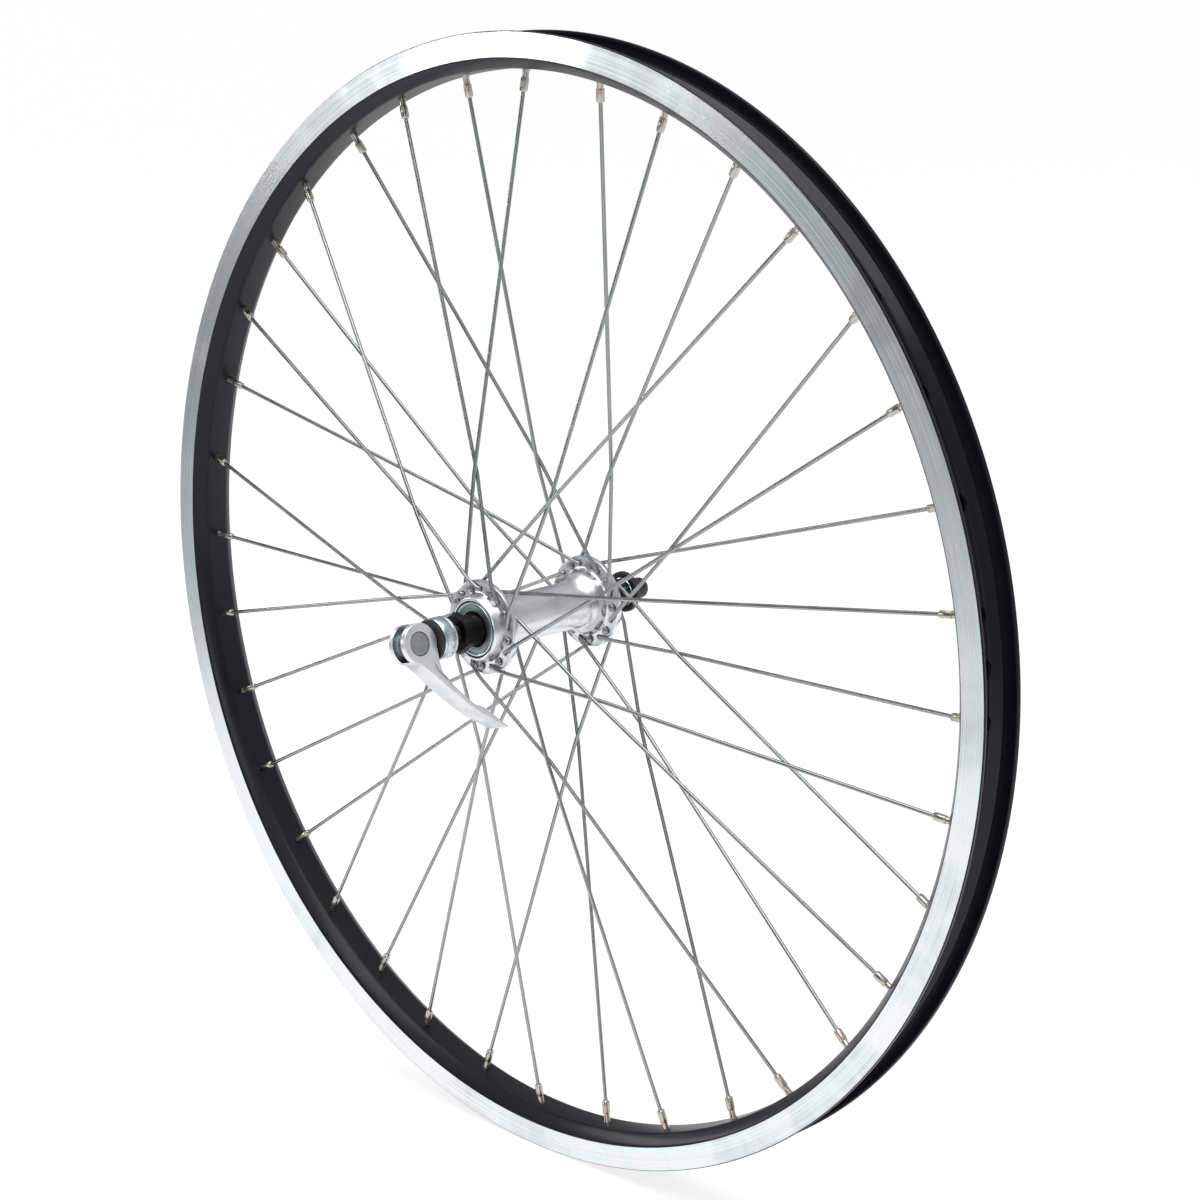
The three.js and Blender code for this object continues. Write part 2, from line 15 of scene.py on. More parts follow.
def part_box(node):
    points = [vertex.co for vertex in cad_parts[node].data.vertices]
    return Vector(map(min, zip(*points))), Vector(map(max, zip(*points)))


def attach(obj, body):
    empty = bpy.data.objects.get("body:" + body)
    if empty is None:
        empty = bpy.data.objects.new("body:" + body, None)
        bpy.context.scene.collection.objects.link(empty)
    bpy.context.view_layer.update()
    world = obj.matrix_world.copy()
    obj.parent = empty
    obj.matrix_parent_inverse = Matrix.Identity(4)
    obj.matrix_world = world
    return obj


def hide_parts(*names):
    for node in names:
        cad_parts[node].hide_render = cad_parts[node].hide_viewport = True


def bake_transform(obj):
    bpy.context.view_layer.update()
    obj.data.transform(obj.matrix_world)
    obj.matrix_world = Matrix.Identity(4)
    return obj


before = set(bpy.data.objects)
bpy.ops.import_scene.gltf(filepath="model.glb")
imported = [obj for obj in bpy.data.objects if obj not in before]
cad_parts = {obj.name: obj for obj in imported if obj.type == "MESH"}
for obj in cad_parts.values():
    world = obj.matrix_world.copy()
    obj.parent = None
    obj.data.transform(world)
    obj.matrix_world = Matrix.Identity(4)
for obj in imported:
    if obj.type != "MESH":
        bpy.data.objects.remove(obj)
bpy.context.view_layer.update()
MM = 0.001

# %% [markdown]
# ## The camera
# The camera looks at the wheel from the lever's side, a little from above, and is rolled slightly.
# It is placed by the wheel's own radius.

# %% Camera
AZIMUTH, ELEVATION, ROLL = 45.34, 13.27, -1.70
RIM_RADIUS = 259.15 * MM


def view_axes(azimuth, elevation, roll):
    a, e, r = (math.radians(angle) for angle in (azimuth, elevation, roll))
    back = Vector((math.sin(a) * math.cos(e), -math.cos(a) * math.cos(e), math.sin(e)))
    right = Vector((math.cos(a), math.sin(a), 0))
    up = back.cross(right)
    turned_right = math.cos(r) * right + math.sin(r) * up
    turned_up = math.cos(r) * up - math.sin(r) * right
    return turned_right, turned_up, back


right, up, back = view_axes(AZIMUTH, ELEVATION, ROLL)
bpy.ops.object.camera_add()
camera = bpy.context.object
camera.name = "camera"
camera.data.lens = 72.35
camera.data.sensor_width = 36
camera.data.shift_x = -0.0008
camera.data.shift_y = 0.0103
camera.data.clip_end = 100
place = back * 4.251 * RIM_RADIUS + right * 0.1139 * RIM_RADIUS + up * 0.0020 * RIM_RADIUS
turn = Matrix((right, up, back)).transposed().to_4x4()
camera.matrix_world = Matrix.Translation(place) @ turn
bpy.context.scene.camera = camera
bpy.context.scene.view_settings.view_transform = "Standard"
print("camera at", [round(v, 3) for v in camera.location])

# %% [markdown]
# ## Small tools for modelling
# Operators act on whatever is selected, so each step starts by selecting nothing. Most of this
# wheel is turned metal: an outline of (radius, place along the axle) is drawn by extruding one
# vertex from point to point, and then spun round the axle, as on a lathe.

# %% Selecting and finishing


def select_only(*pieces):
    bpy.ops.object.select_all(action="DESELECT")
    for piece in pieces:
        piece.select_set(True)
    bpy.context.view_layer.objects.active = pieces[-1]


def edit(piece):
    select_only(piece)
    bpy.ops.object.mode_set(mode="EDIT")
    bpy.ops.mesh.select_all(action="SELECT")


def object_mode():
    bpy.ops.object.mode_set(mode="OBJECT")


def tidy(piece):
    """Merges doubles and points the faces outwards."""
    edit(piece)
    bpy.ops.mesh.remove_doubles(threshold=0.002 * MM)
    bpy.ops.mesh.select_all(action="SELECT")
    bpy.ops.mesh.normals_make_consistent(inside=False)
    object_mode()


def smooth(piece, angle=35):
    select_only(piece)
    bpy.ops.object.shade_smooth_by_angle(angle=math.radians(angle))


def round_edges(piece, width, segments=2, angle=30):
    """Rounds the sharp edges. The width is in millimetres."""
    bevel = piece.modifiers.new("Round edges", "BEVEL")
    bevel.width = width * MM
    bevel.segments = segments
    bevel.limit_method = "ANGLE"
    bevel.angle_limit = math.radians(angle)
    bevel.use_clamp_overlap = True
    select_only(piece)
    bpy.ops.object.modifier_apply(modifier=bevel.name)


def cut(piece, cutter, operation="DIFFERENCE"):
    boolean = piece.modifiers.new("Cut", "BOOLEAN")
    boolean.operation = operation
    boolean.solver = "EXACT"
    boolean.object = cutter
    select_only(piece)
    bpy.ops.object.modifier_apply(modifier=boolean.name)
    bpy.data.objects.remove(cutter)


def join(*pieces):
    select_only(*reversed(pieces))
    bpy.ops.object.join()
    return bpy.context.object


def copy_of(piece, name):
    twin = piece.copy()
    twin.data = piece.data.copy()
    twin.name = name
    bpy.context.scene.collection.objects.link(twin)
    return twin


def settle(piece, matrix):
    """Moves a piece by a matrix and puts that place into its mesh."""
    piece.matrix_world = matrix @ piece.matrix_world
    select_only(piece)
    bpy.ops.object.transform_apply(location=True, rotation=True, scale=True)


# %% Drawing an outline and turning it


def one_vertex(name, point):
    bpy.ops.object.select_all(action="DESELECT")
    bpy.ops.mesh.primitive_plane_add(size=2 * MM, location=(0, 0, 0))
    piece = bpy.context.object
    piece.name = name
    bpy.ops.object.mode_set(mode="EDIT")
    bpy.ops.mesh.select_all(action="SELECT")
    bpy.ops.mesh.merge(type="CENTER")
    bpy.ops.transform.translate(value=point)
    return piece


def draw(points):
    """Extrudes the one selected vertex from point to point."""
    for before, after in zip(points, points[1:]):
        step = Vector(after) - Vector(before)
        bpy.ops.mesh.extrude_region_move(TRANSFORM_OT_translate={"value": step})


def select_near(piece, *points):
    mesh = bmesh.from_edit_mesh(piece.data)
    for vert in mesh.verts:
        vert.select = any((vert.co - point).length < 0.001 * MM for point in points)
    mesh.select_flush_mode()
    bmesh.update_edit_mesh(piece.data)


def turned(name, outline, steps, side=1):
    """Turns an outline of (radius, along) points in millimetres round the axle."""
    points = [Vector((radius * MM, side * along * MM, 0)) for radius, along in outline]
    piece = one_vertex(name, points[0])
    draw(points)
    select_near(piece, points[0], points[-1])
    bpy.ops.mesh.edge_face_add()
    bpy.ops.mesh.select_all(action="SELECT")
    bpy.ops.mesh.spin(steps=steps, angle=2 * math.pi, center=(0, 0, 0), axis=(0, 1, 0))
    object_mode()
    tidy(piece)
    return piece


def arc(centre, radius, start, stop, count):
    """Outline points round an arc, with angles in degrees from the radial direction."""
    points = []
    for i in range(count + 1):
        angle = math.radians(start + (stop - start) * i / count)
        points.append((centre[0] + radius * math.cos(angle), centre[1] + radius * math.sin(angle)))
    return points


def polar(radius, angle, along=0.0):
    """A point in metres, from millimetres, and degrees from +X towards +Z."""
    a = math.radians(angle)
    return Vector((radius * math.cos(a), along, radius * math.sin(a))) * MM


def along_axle(node):
    """Where a CAD node starts and ends along the axle, and its radius, in millimetres."""
    low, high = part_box(node)
    return low.y / MM, high.y / MM, high.z / MM


# %% [markdown]
# ## Small tools for finishes
# Every finish is a node material. A shade wraps one output socket, so that adding or multiplying
# two shades adds the Math node that does it. All patterns are read from Object coordinates,
# because every piece's object sits at the origin.

# %% Shades and finishes


class Shade:
    """A value that changes over a surface."""

    def __init__(self, finish, socket):
        self.finish = finish
        self.socket = socket

    def math(self, operation, *values):
        settings = {"operation": operation}
        return self.finish.node("ShaderNodeMath", settings, dict(enumerate(values)))

    def __add__(self, other):
        return self.math("ADD", self, other)

    __radd__ = __add__

    def __mul__(self, other):
        return self.math("MULTIPLY", self, other)

    __rmul__ = __mul__

    def __truediv__(self, other):
        return self.math("DIVIDE", self, other)

    def __pow__(self, other):
        return self.math("POWER", self, other)


class Finish:
    """A material being made."""

    def __init__(self, name, **constants):
        self.material = bpy.data.materials.new(name)
        self.material.use_nodes = True
        self.nodes = self.material.node_tree.nodes
        self.links = self.material.node_tree.links
        self.shader = self.nodes["Principled BSDF"]
        for name, value in constants.items():
            self.shader.inputs[name.replace("_", " ").title().replace("Ior", "IOR")].default_value = value

    def node(self, kind, settings=None, sockets=None, output=0):
        node = self.nodes.new(kind)
        for key, value in (settings or {}).items():
            setattr(node, key, value)
        for key, value in (sockets or {}).items():
            self.feed(node.inputs[key], value)
        return Shade(self, node.outputs[output])

    def feed(self, socket, value):
        if isinstance(value, Shade):
            self.links.new(value.socket, socket)
        else:
            socket.default_value = value

    def set(self, name, value):
        self.feed(self.shader.inputs[name], value)

    def place(self):
        return self.node("ShaderNodeTexCoord", output="Object")

    def split(self, vector):
        first = self.node("ShaderNodeSeparateXYZ", None, {0: vector})
        outputs = first.socket.node.outputs
        return [Shade(self, outputs[i]) for i in range(3)]

    def vector(self, x, y, z):
        return self.node("ShaderNodeCombineXYZ", None, {0: x, 1: y, 2: z})

    def noise(self, vector, scale, detail=2.0, roughness=0.5):
        sockets = {"Vector": vector, "Scale": scale, "Detail": detail, "Roughness": roughness}
        return self.node("ShaderNodeTexNoise", {"noise_dimensions": "3D"}, sockets)

    def spread(self, shade, low, high, out_low=0.0, out_high=1.0):
        sockets = {"Value": shade, "From Min": low, "From Max": high}
        sockets.update({"To Min": out_low, "To Max": out_high})
        return self.node("ShaderNodeMapRange", {"interpolation_type": "SMOOTHSTEP"}, sockets)

    def mix(self, factor, first, second):
        settings = {"data_type": "RGBA", "blend_type": "MIX"}
        first, second = (v if isinstance(v, Shade) else (*v, 1) for v in (first, second))
        sockets = {"Factor": factor, 6: first, 7: second}
        return self.node("ShaderNodeMix", settings, sockets, output=2)

    def bump(self, height, strength, distance):
        sockets = {"Height": height, "Strength": strength, "Distance": distance * MM}
        self.set("Normal", self.node("ShaderNodeBump", None, sockets))

    def round_axle(self):
        """Radius from the axle, place along it, and the direction round it, all seamless."""
        x, y, z = self.split(self.place())
        radius = (x * x + z * z) ** 0.5
        return radius, y, x / radius, z / radius


# %% [markdown]
# ## Finishes
# The rim is an aluminium extrusion, black anodised all over, with its brake tracks then machined
# bare. Extruding leaves faint lines that run round the wheel, and machining leaves finer and
# brighter ones. Both are noise that is stretched round the axle: its coordinates are the radius,
# many times magnified, and the direction round the wheel.

# %% Black anodised rim


def black_anodised():
    finish = Finish("black_anodised", metallic=0.15, coat_weight=0.10, coat_roughness=0.12)
    finish.shader.inputs["Specular IOR Level"].default_value = 0.22
    radius, along, east, north = finish.round_axle()
    lines = finish.noise(finish.vector(radius * 900, along * 900, east * 0.6 + north * 0.4), 1.0, 3)
    clouds = finish.noise(finish.place(), 9.0, 3)
    finish.set("Base Color", finish.mix(clouds, (0.004, 0.004, 0.007), (0.010, 0.010, 0.015)))
    finish.set("Roughness", finish.spread(clouds, 0.3, 0.7, 0.24, 0.36) + lines * 0.06)
    finish.bump(lines, 0.12, 0.05)
    return finish.material


# %% Machined brake track


def machined_track():
    finish = Finish("machined_track", metallic=1.0)
    radius, along, east, north = finish.round_axle()
    round_the_wheel = finish.vector(east * 2.2, along * 10, north * 2.2)
    rings = finish.noise(finish.vector(radius * 2600, east * 2.0, north * 2.0), 1.0, 2)
    smears = finish.noise(round_the_wheel, 3.2, 3, 0.6)
    prints = finish.noise(finish.place(), 42.0, 3, 0.6)
    dull = finish.spread(smears * 0.6 + prints * 0.4, 0.42, 0.62)
    base = finish.mix(dull, (0.74, 0.78, 0.80), (0.50, 0.55, 0.575))
    finish.set("Base Color", finish.mix(finish.spread(rings, 0.35, 0.65), base, (0.80, 0.83, 0.85)))
    finish.set("Roughness", finish.spread(dull, 0, 1, 0.23, 0.33) + rings * 0.06)
    finish.bump(rings, 0.25, 0.05)
    return finish.material


# %% Spoke steel and nipple nickel


def spoke_steel():
    finish = Finish("spoke_steel", metallic=1.0)
    drawn = finish.noise(finish.place(), 60.0, 3)
    finish.set("Base Color", finish.mix(drawn, (0.27, 0.28, 0.285), (0.44, 0.45, 0.455)))
    finish.set("Roughness", finish.spread(drawn, 0.3, 0.7, 0.22, 0.34))
    return finish.material


def nipple_nickel():
    finish = Finish("nipple_nickel", metallic=1.0)
    stains = finish.noise(finish.place(), 420.0, 3)
    finish.set("Base Color", finish.mix(stains, (0.40, 0.36, 0.31), (0.66, 0.62, 0.56)))
    finish.set("Roughness", finish.spread(stains, 0.3, 0.7, 0.20, 0.38))
    finish.bump(finish.noise(finish.place(), 1400.0, 2), 0.15, 0.04)
    return finish.material


# %% [markdown]
# The hub was turned on a lathe and then polished, which leaves rings round the axle that only
# show in its highlights. The skewer's steel parts are zinc plated, with a blue tint. The lever is
# a satin casting, and the cones and locknuts are black from heat treatment.

# %% Turned and plated metals


def lathe_metal(name, dark, light, rough, ring_scale=2600, bump=0.08, **constants):
    finish = Finish(name, metallic=1.0, **constants)
    radius, along, east, north = finish.round_axle()
    stretched = finish.vector(radius * ring_scale + along * ring_scale, east * 1.5, north * 1.5)
    rings = finish.noise(stretched, 1.0, 2)
    clouds = finish.noise(finish.place(), 60.0, 4, 0.6)
    shade = finish.spread(clouds, 0.3, 0.7)
    finish.set("Base Color", finish.mix(shade, dark, light))
    finish.set("Roughness", finish.spread(clouds, 0.3, 0.7, rough, rough + 0.08) + rings * 0.05)
    finish.bump(rings, bump, 0.03)
    return finish.material


def cast_metal(name, dark, light, rough, grain=900.0, bump=0.2, metallic=1.0):
    finish = Finish(name, metallic=metallic)
    clouds = finish.noise(finish.place(), 90.0, 4, 0.6)
    pits = finish.noise(finish.place(), grain, 3, 0.6)
    finish.set("Base Color", finish.mix(finish.spread(clouds, 0.3, 0.7), dark, light))
    finish.set("Roughness", finish.spread(clouds, 0.3, 0.7, rough, rough + 0.1) + pits * 0.06)
    finish.bump(pits, bump, 0.03)
    return finish.material


FINISHES = {
    "black_rim": black_anodised(),
    "brake_track": machined_track(),
    "spoke_steel": spoke_steel(),
    "nipple_nickel": nipple_nickel(),
    "polished_aluminium": lathe_metal(
        "polished_aluminium", (0.68, 0.71, 0.73), (0.82, 0.84, 0.86), 0.22, bump=0.015
    ),
    "bright_steel": lathe_metal("bright_steel", (0.52, 0.52, 0.53), (0.66, 0.66, 0.67), 0.20),
    "zinc_steel": lathe_metal("zinc_steel", (0.50, 0.60, 0.64), (0.68, 0.76, 0.79), 0.18),
    "grey_seal": lathe_metal("grey_seal", (0.20, 0.24, 0.23), (0.30, 0.35, 0.33), 0.32),
    "black_steel": lathe_metal("black_steel", (0.014, 0.013, 0.015), (0.035, 0.032, 0.034), 0.38, bump=0.2),
    "cast_aluminium": cast_metal(
        "cast_aluminium", (0.68, 0.70, 0.72), (0.80, 0.82, 0.84), 0.30, metallic=0.8
    ),
    "grey_pin": cast_metal("grey_pin", (0.24, 0.26, 0.27), (0.36, 0.38, 0.40), 0.42, metallic=0.6),
    "black_plastic": cast_metal(
        "black_plastic", (0.008, 0.008, 0.009), (0.016, 0.016, 0.017), 0.38, metallic=0.0
    ),
}
print(len(FINISHES), "finishes")


def dress(piece, body, slot, *nodes, finish=None):
    """Gives a finished piece its finish, its body and the CAD nodes it stands for."""
    if not piece.data.materials:
        piece.data.materials.append(FINISHES[finish or slot])
    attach(piece, body)
    if nodes:
        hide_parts(*nodes)


# %% [markdown]
# ## The floor and the light
# The wheel is bare metal, and bare metal shows whatever stands round it. In an all-white room it
# would vanish. So the room is dark near the horizon and lighter overhead, with a large soft light
# above. A small soft light low down in front is what the top of the brake track shows as its
# white patch. The floor is a pale disc. The backdrop round it curves up behind the wheel like a dish,
# and it is left out of reflections, so that the metal keeps its dark edges.

# %% Floor and backdrop
FLOOR = -RIM_RADIUS - 0.1 * MM
FLOOR_REACH = 1.0
paint = Finish("floor_paint", roughness=0.9, emission_strength=0.80)
paint.shader.inputs["Base Color"].default_value = (0.30, 0.30, 0.30, 1)
paint.shader.inputs["Emission Color"].default_value = (1, 1, 1, 1)
bpy.ops.object.select_all(action="DESELECT")
bpy.ops.mesh.primitive_circle_add(
    vertices=96, radius=FLOOR_REACH, fill_type="NGON", location=(0, 0, FLOOR)
)
floor = bpy.context.object
floor.name = "floor"
bpy.ops.object.select_all(action="DESELECT")
bpy.ops.mesh.primitive_circle_add(vertices=96, radius=FLOOR_REACH, location=(0, 0, FLOOR))
backdrop = bpy.context.object
backdrop.name = "backdrop"
bpy.ops.object.mode_set(mode="EDIT")
bpy.ops.mesh.select_all(action="SELECT")
reach = FLOOR_REACH
for i in range(0, 13):
    lean = math.radians(7.5 * i)
    before = math.radians(7.5 * max(i - 1, 0))
    wider = 5 + 2.5 * math.sin(lean)
    rise = 2.5 * (math.cos(before) - math.cos(lean))
    bpy.ops.mesh.extrude_region_move(TRANSFORM_OT_translate={"value": (0, 0, rise)})
    bpy.ops.transform.resize(value=(wider / reach, wider / reach, 1), center_override=(0, 0, 0))
    reach = wider
object_mode()
smooth(backdrop, 60)
backdrop.visible_glossy = False
for ground in (floor, backdrop):
    ground.data.materials.append(paint.material)
print("floor at", round(FLOOR / MM, 2), "mm")

# %% Lights and room


def softbox(name, location, target, size, power, colour=(1, 1, 1)):
    bpy.ops.object.light_add(type="AREA", location=location)
    lamp = bpy.context.object
    lamp.name = name
    lamp.data.shape = "RECTANGLE"
    lamp.data.size, lamp.data.size_y = size
    lamp.data.energy = power
    lamp.data.color = colour
    toward = (Vector(target) - Vector(location)).to_track_quat("-Z", "Y")
    lamp.rotation_euler = toward.to_euler()
    lamp.visible_camera = False
    return lamp


softbox("overhead_softbox", (0.2, -0.3, 1.7), (0, 0, 0), (1.8, 1.8), 30)
softbox("left_softbox", (-2.6, -0.2, 0.9), (0, 0, 0), (0.8, 1.6), 14)
softbox("right_softbox", (1.6, -2.4, 0.7), (0, 0, 0), (0.6, 1.6), 10, (0.92, 0.96, 1.0))
softbox("low_softbox", (-2.22, -2.02, 0.42), (0, 0, 0.25), (0.42, 0.32), 5)
world = bpy.data.worlds.new("studio")
world.use_nodes = True
sky = world.node_tree
direction = sky.nodes.new("ShaderNodeTexCoord").outputs["Generated"]
height = sky.nodes.new("ShaderNodeSeparateXYZ")
stretch = sky.nodes.new("ShaderNodeMapRange")
stretch.inputs["From Min"].default_value = -1
dark_side = sky.nodes.new("ShaderNodeValToRGB")
bright_side = sky.nodes.new("ShaderNodeValToRGB")
DARK = [(0.0, 0.95), (0.36, 0.80), (0.44, 0.20), (0.56, 0.08), (0.70, 0.25), (1.0, 0.60)]
BRIGHT = [(0.0, 0.95), (0.36, 0.85), (0.44, 0.70), (0.56, 0.62), (0.70, 0.45), (1.0, 0.60)]
for slope_ramp, levels in ((dark_side, DARK), (bright_side, BRIGHT)):
    while len(slope_ramp.color_ramp.elements) < len(levels):
        slope_ramp.color_ramp.elements.new(0.5)
    for element, (position, level) in zip(slope_ramp.color_ramp.elements, levels):
        element.position = position
        element.color = (level * 0.97, level, level * 1.01, 1)
    sky.links.new(stretch.outputs[0], slope_ramp.inputs[0])
facing = sky.nodes.new("ShaderNodeVectorMath")
facing.operation = "DOT_PRODUCT"
facing.inputs[1].default_value = (0.45, 0.89, 0)
round_about = sky.nodes.new("ShaderNodeMapRange")
round_about.interpolation_type = "SMOOTHSTEP"
round_about.inputs["From Min"].default_value = -0.1
round_about.inputs["From Max"].default_value = 0.8
both = sky.nodes.new("ShaderNodeMix")
both.data_type = "RGBA"
sky.links.new(direction, height.inputs[0])
sky.links.new(direction, facing.inputs[0])
sky.links.new(facing.outputs["Value"], round_about.inputs["Value"])
sky.links.new(height.outputs["Z"], stretch.inputs["Value"])
sky.links.new(round_about.outputs[0], both.inputs[0])
sky.links.new(dark_side.outputs[0], both.inputs[6])
sky.links.new(bright_side.outputs[0], both.inputs[7])
sky.links.new(both.outputs[2], sky.nodes["Background"].inputs["Color"])
bpy.context.scene.world = world

# %% [markdown]
# ## The rim
# A double-wall rim is one hollow extrusion, bent into a hoop. Here its cross-section is drawn as
# an outline and turned round the axle in 360 steps. The chamber inside is a second turned shape,
# and it is cut out of the first. Then the holes are cut: a wide one in the tyre bed over each
# nipple, a small one in the spoke bed for the nipple itself, and the valve's through both walls.

# %% Rim outline
OUTER = 259.15
TRACK_INNER = 248.0
SEAT = 253.5
BED = 243.05
HALF_WIDTH = 11.8
rim_half = [
    (BED, 0.0),
    (BED, 5.08),
    (BED + 0.14, 5.99),
    (BED + 0.54, 6.8),
    (TRACK_INNER - 1.09, 10.79),
    (TRACK_INNER - 0.5, 11.38),
    (TRACK_INNER - 0.14, 11.59),
    (TRACK_INNER, 11.61),
    (TRACK_INNER + 0.05, HALF_WIDTH),
    (OUTER - 0.45, HALF_WIDTH),
    (OUTER - 0.14, HALF_WIDTH - 0.14),
    (OUTER, HALF_WIDTH - 0.45),
    (OUTER, HALF_WIDTH - 1.36),
    (OUTER - 0.18, HALF_WIDTH - 1.77),
    (OUTER - 0.63, HALF_WIDTH - 1.95),
    (OUTER - 1.36, HALF_WIDTH - 1.9),
    (OUTER - 1.9, HALF_WIDTH - 1.59),
    (OUTER - 2.36, HALF_WIDTH - 1.45),
    (SEAT + 0.73, HALF_WIDTH - 1.45),
    (SEAT + 0.18, HALF_WIDTH - 1.63),
    (SEAT, HALF_WIDTH - 2.09),
    (SEAT, 7.89),
    (SEAT + 0.23, 7.44),
    (SEAT, 6.98),
    (SEAT - 2.45, 4.44),
    (SEAT - 2.81, 3.72),
    (SEAT - 2.9, 2.72),
    (SEAT - 2.9, 0.0),
]
chamber_half = [
    (BED + 1.81, 0.0),
    (BED + 1.81, 5.44),
    (TRACK_INNER - 0.36, 9.61),
    (TRACK_INNER + 0.54, 9.98),
    (SEAT - 1.72, 9.98),
    (SEAT - 1.27, 9.52),
    (SEAT - 1.27, 7.8),
    (SEAT - 3.99, 4.9),
    (SEAT - 4.17, 4.17),
    (SEAT - 4.17, 0.0),
]


def both_halves(half):
    """An outline given for the right half, with its mirror image joined on."""
    mirrored = [(radius, -along) for radius, along in reversed(half)]
    return half[1:-1] + mirrored if half[0][1] == 0 else half + mirrored


rim = turned("rim", both_halves(rim_half), 360)
chamber = turned("chamber", both_halves(chamber_half), 360)
cut(rim, chamber)
print("rim has", len(rim.data.polygons), "faces before its holes")

# %% [markdown]
# ## How the spokes run
# Spokes leave the hub by turns from the outer and the inner face of each flange, and run round
# it in opposite directions. Each one crosses three others of its flange and passes under the
# last. The lines are worked out from the circle of hub holes and the circle of rim holes.

# %% Lacing
HOLE_CIRCLE = 17.96
FLANGE_OUT, FLANGE_IN, FLANGE_RADIUS = 34.1, 31.2, 21.56
SPOKE_RADIUS = 0.9
SPAN, LACED_AT = 60.0, 50.0
NIPPLE_OFFSET = 1.3
VALVE_ANGLE = 3.24
GAP = 0.3
LACING = [
    {"side": -1, "outside": False, "turn": -1},
    {"side": 1, "outside": False, "turn": 1},
    {"side": -1, "outside": True, "turn": 1},
    {"side": 1, "outside": True, "turn": -1},
]
RUN_OUTSIDE = FLANGE_OUT + GAP + SPOKE_RADIUS
RUN_INSIDE = FLANGE_IN - GAP - SPOKE_RADIUS


def line_radius(angle):
    """The radius of the straight line from hub hole to nipple, at an angle round from the hole."""
    hub_part = HOLE_CIRCLE * math.sin(math.radians(angle))
    rim_part = BED * math.sin(math.radians(SPAN - angle))
    return HOLE_CIRCLE * BED * math.sin(math.radians(SPAN)) / (hub_part + rim_part)


def line_length(angle):
    return (polar(line_radius(angle), angle) - polar(HOLE_CIRCLE, 0)).length / MM


def crossing_plane(outside):
    share = line_length(LACED_AT) / line_length(SPAN)
    start = (RUN_OUTSIDE + RUN_INSIDE) / 2
    middle = start + (NIPPLE_OFFSET - start) * share
    half = SPOKE_RADIUS + GAP / 2
    return middle - half if outside else middle + half


def nipple_angle(number):
    return VALVE_ANGLE + (16.5 - number) * 10


edge_angle = next(a / 2 for a in range(120) if line_radius(a / 2) >= FLANGE_RADIUS + SPOKE_RADIUS)
print("a spoke clears the flange", edge_angle, "degrees round from its hole")

# %% A spoke's centre line
HEAD_HEIGHT = 1.1
ELBOW = 1.65


def spoke_path(number):
    """Corner points from the head to the nipple's seat, and the side its head is on."""
    rule = LACING[number % 4]
    side, outside, turn = rule["side"], rule["outside"], rule["turn"]
    hole_angle = nipple_angle(number) - turn * SPAN

    def at(angle, along):
        return polar(line_radius(angle), hole_angle + turn * angle, side * along)

    head_plane = FLANGE_IN - GAP if outside else FLANGE_OUT + GAP
    run_plane = RUN_OUTSIDE if outside else RUN_INSIDE
    inward = 1 if outside else -1
    ahead = (at(edge_angle, run_plane) - at(0, run_plane)).normalized()
    points = [at(0, head_plane - inward * HEAD_HEIGHT / 2)]
    for step in range(7):
        bend = math.radians(15 * step)
        forward = ELBOW * (1 - math.cos(bend))
        drop = ELBOW * (1 - math.sin(bend))
        points.append(at(0, run_plane - inward * drop) + ahead * forward * MM)
    if outside:
        points.append(at(edge_angle, run_plane))
    points.append(at(LACED_AT, crossing_plane(outside)))
    points.append(at(SPAN, NIPPLE_OFFSET))
    return points, side * inward


def aim(origin, direction):
    """The matrix that turns +Z to a direction and moves the origin to a point."""
    return Matrix.Translation(origin) @ direction.to_track_quat("Z", "Y").to_matrix().to_4x4()


# %% Cut the rim's holes


def round_bar(radius, start, stop, vertices=24):
    """A cutter from one point to another, its radius in millimetres."""
    bpy.ops.object.select_all(action="DESELECT")
    length = (stop - start).length
    bpy.ops.mesh.primitive_cylinder_add(vertices=vertices, radius=radius * MM, depth=length)
    bar = bpy.context.object
    settle(bar, aim((start + stop) / 2, (stop - start).normalized()))
    return bar


def nipple_line(number):
    points, _ = spoke_path(number)
    return points[-1], (points[-1] - points[-2]).normalized()


cutters = []
for number in range(1, 37):
    seat, outward = nipple_line(number)
    cutters.append(round_bar(1.95, seat - outward * 2 * MM, seat + outward * 3 * MM, 20))
    cutters.append(round_bar(3.65, seat + outward * 4 * MM, seat + outward * 15 * MM, 28))
cut(rim, join(*cutters))
cut(rim, round_bar(4.25, polar(BED - 3, VALVE_ANGLE), polar(OUTER, VALVE_ANGLE), 32))
rim.data.materials.append(FINISHES["black_rim"])
rim.data.materials.append(FINISHES["brake_track"])
for face in rim.data.polygons:
    middle = face.center
    radius = math.hypot(middle.x, middle.z) / MM
    if abs(middle.y) > (HALF_WIDTH - 0.05) * MM and TRACK_INNER < radius < OUTER:
        face.material_index = 1
tidy(rim)
smooth(rim, 24)
dress(rim, "wheel", "black_rim", "rim", "left_brake_wall", "right_brake_wall")
print("rim has", len(rim.data.polygons), "faces")

# %% [markdown]
# ## A nipple
# A nipple is a small turned nut with a squared end for the key. The squared end is a turned
# cylinder with its four sides sliced off by bisecting, and the neck behind it tapers and flares
# out again at the rim.

# %% Nipple
NIPPLE_REACH = 10.0
KEY_LENGTH = 6.15


def turned_up(name, outline, steps):
    """Turns an outline of (radius, height) points round +Z."""
    piece = turned(name, outline, steps)
    settle(piece, Matrix.Rotation(math.radians(90), 4, "X"))
    return piece


def slice_off(piece, point, direction):
    """Cuts away what lies beyond a plane and closes the cut."""
    edit(piece)
    bpy.ops.mesh.bisect(
        plane_co=point, plane_no=direction, clear_outer=True, use_fill=True, threshold=0.0001 * MM
    )
    object_mode()


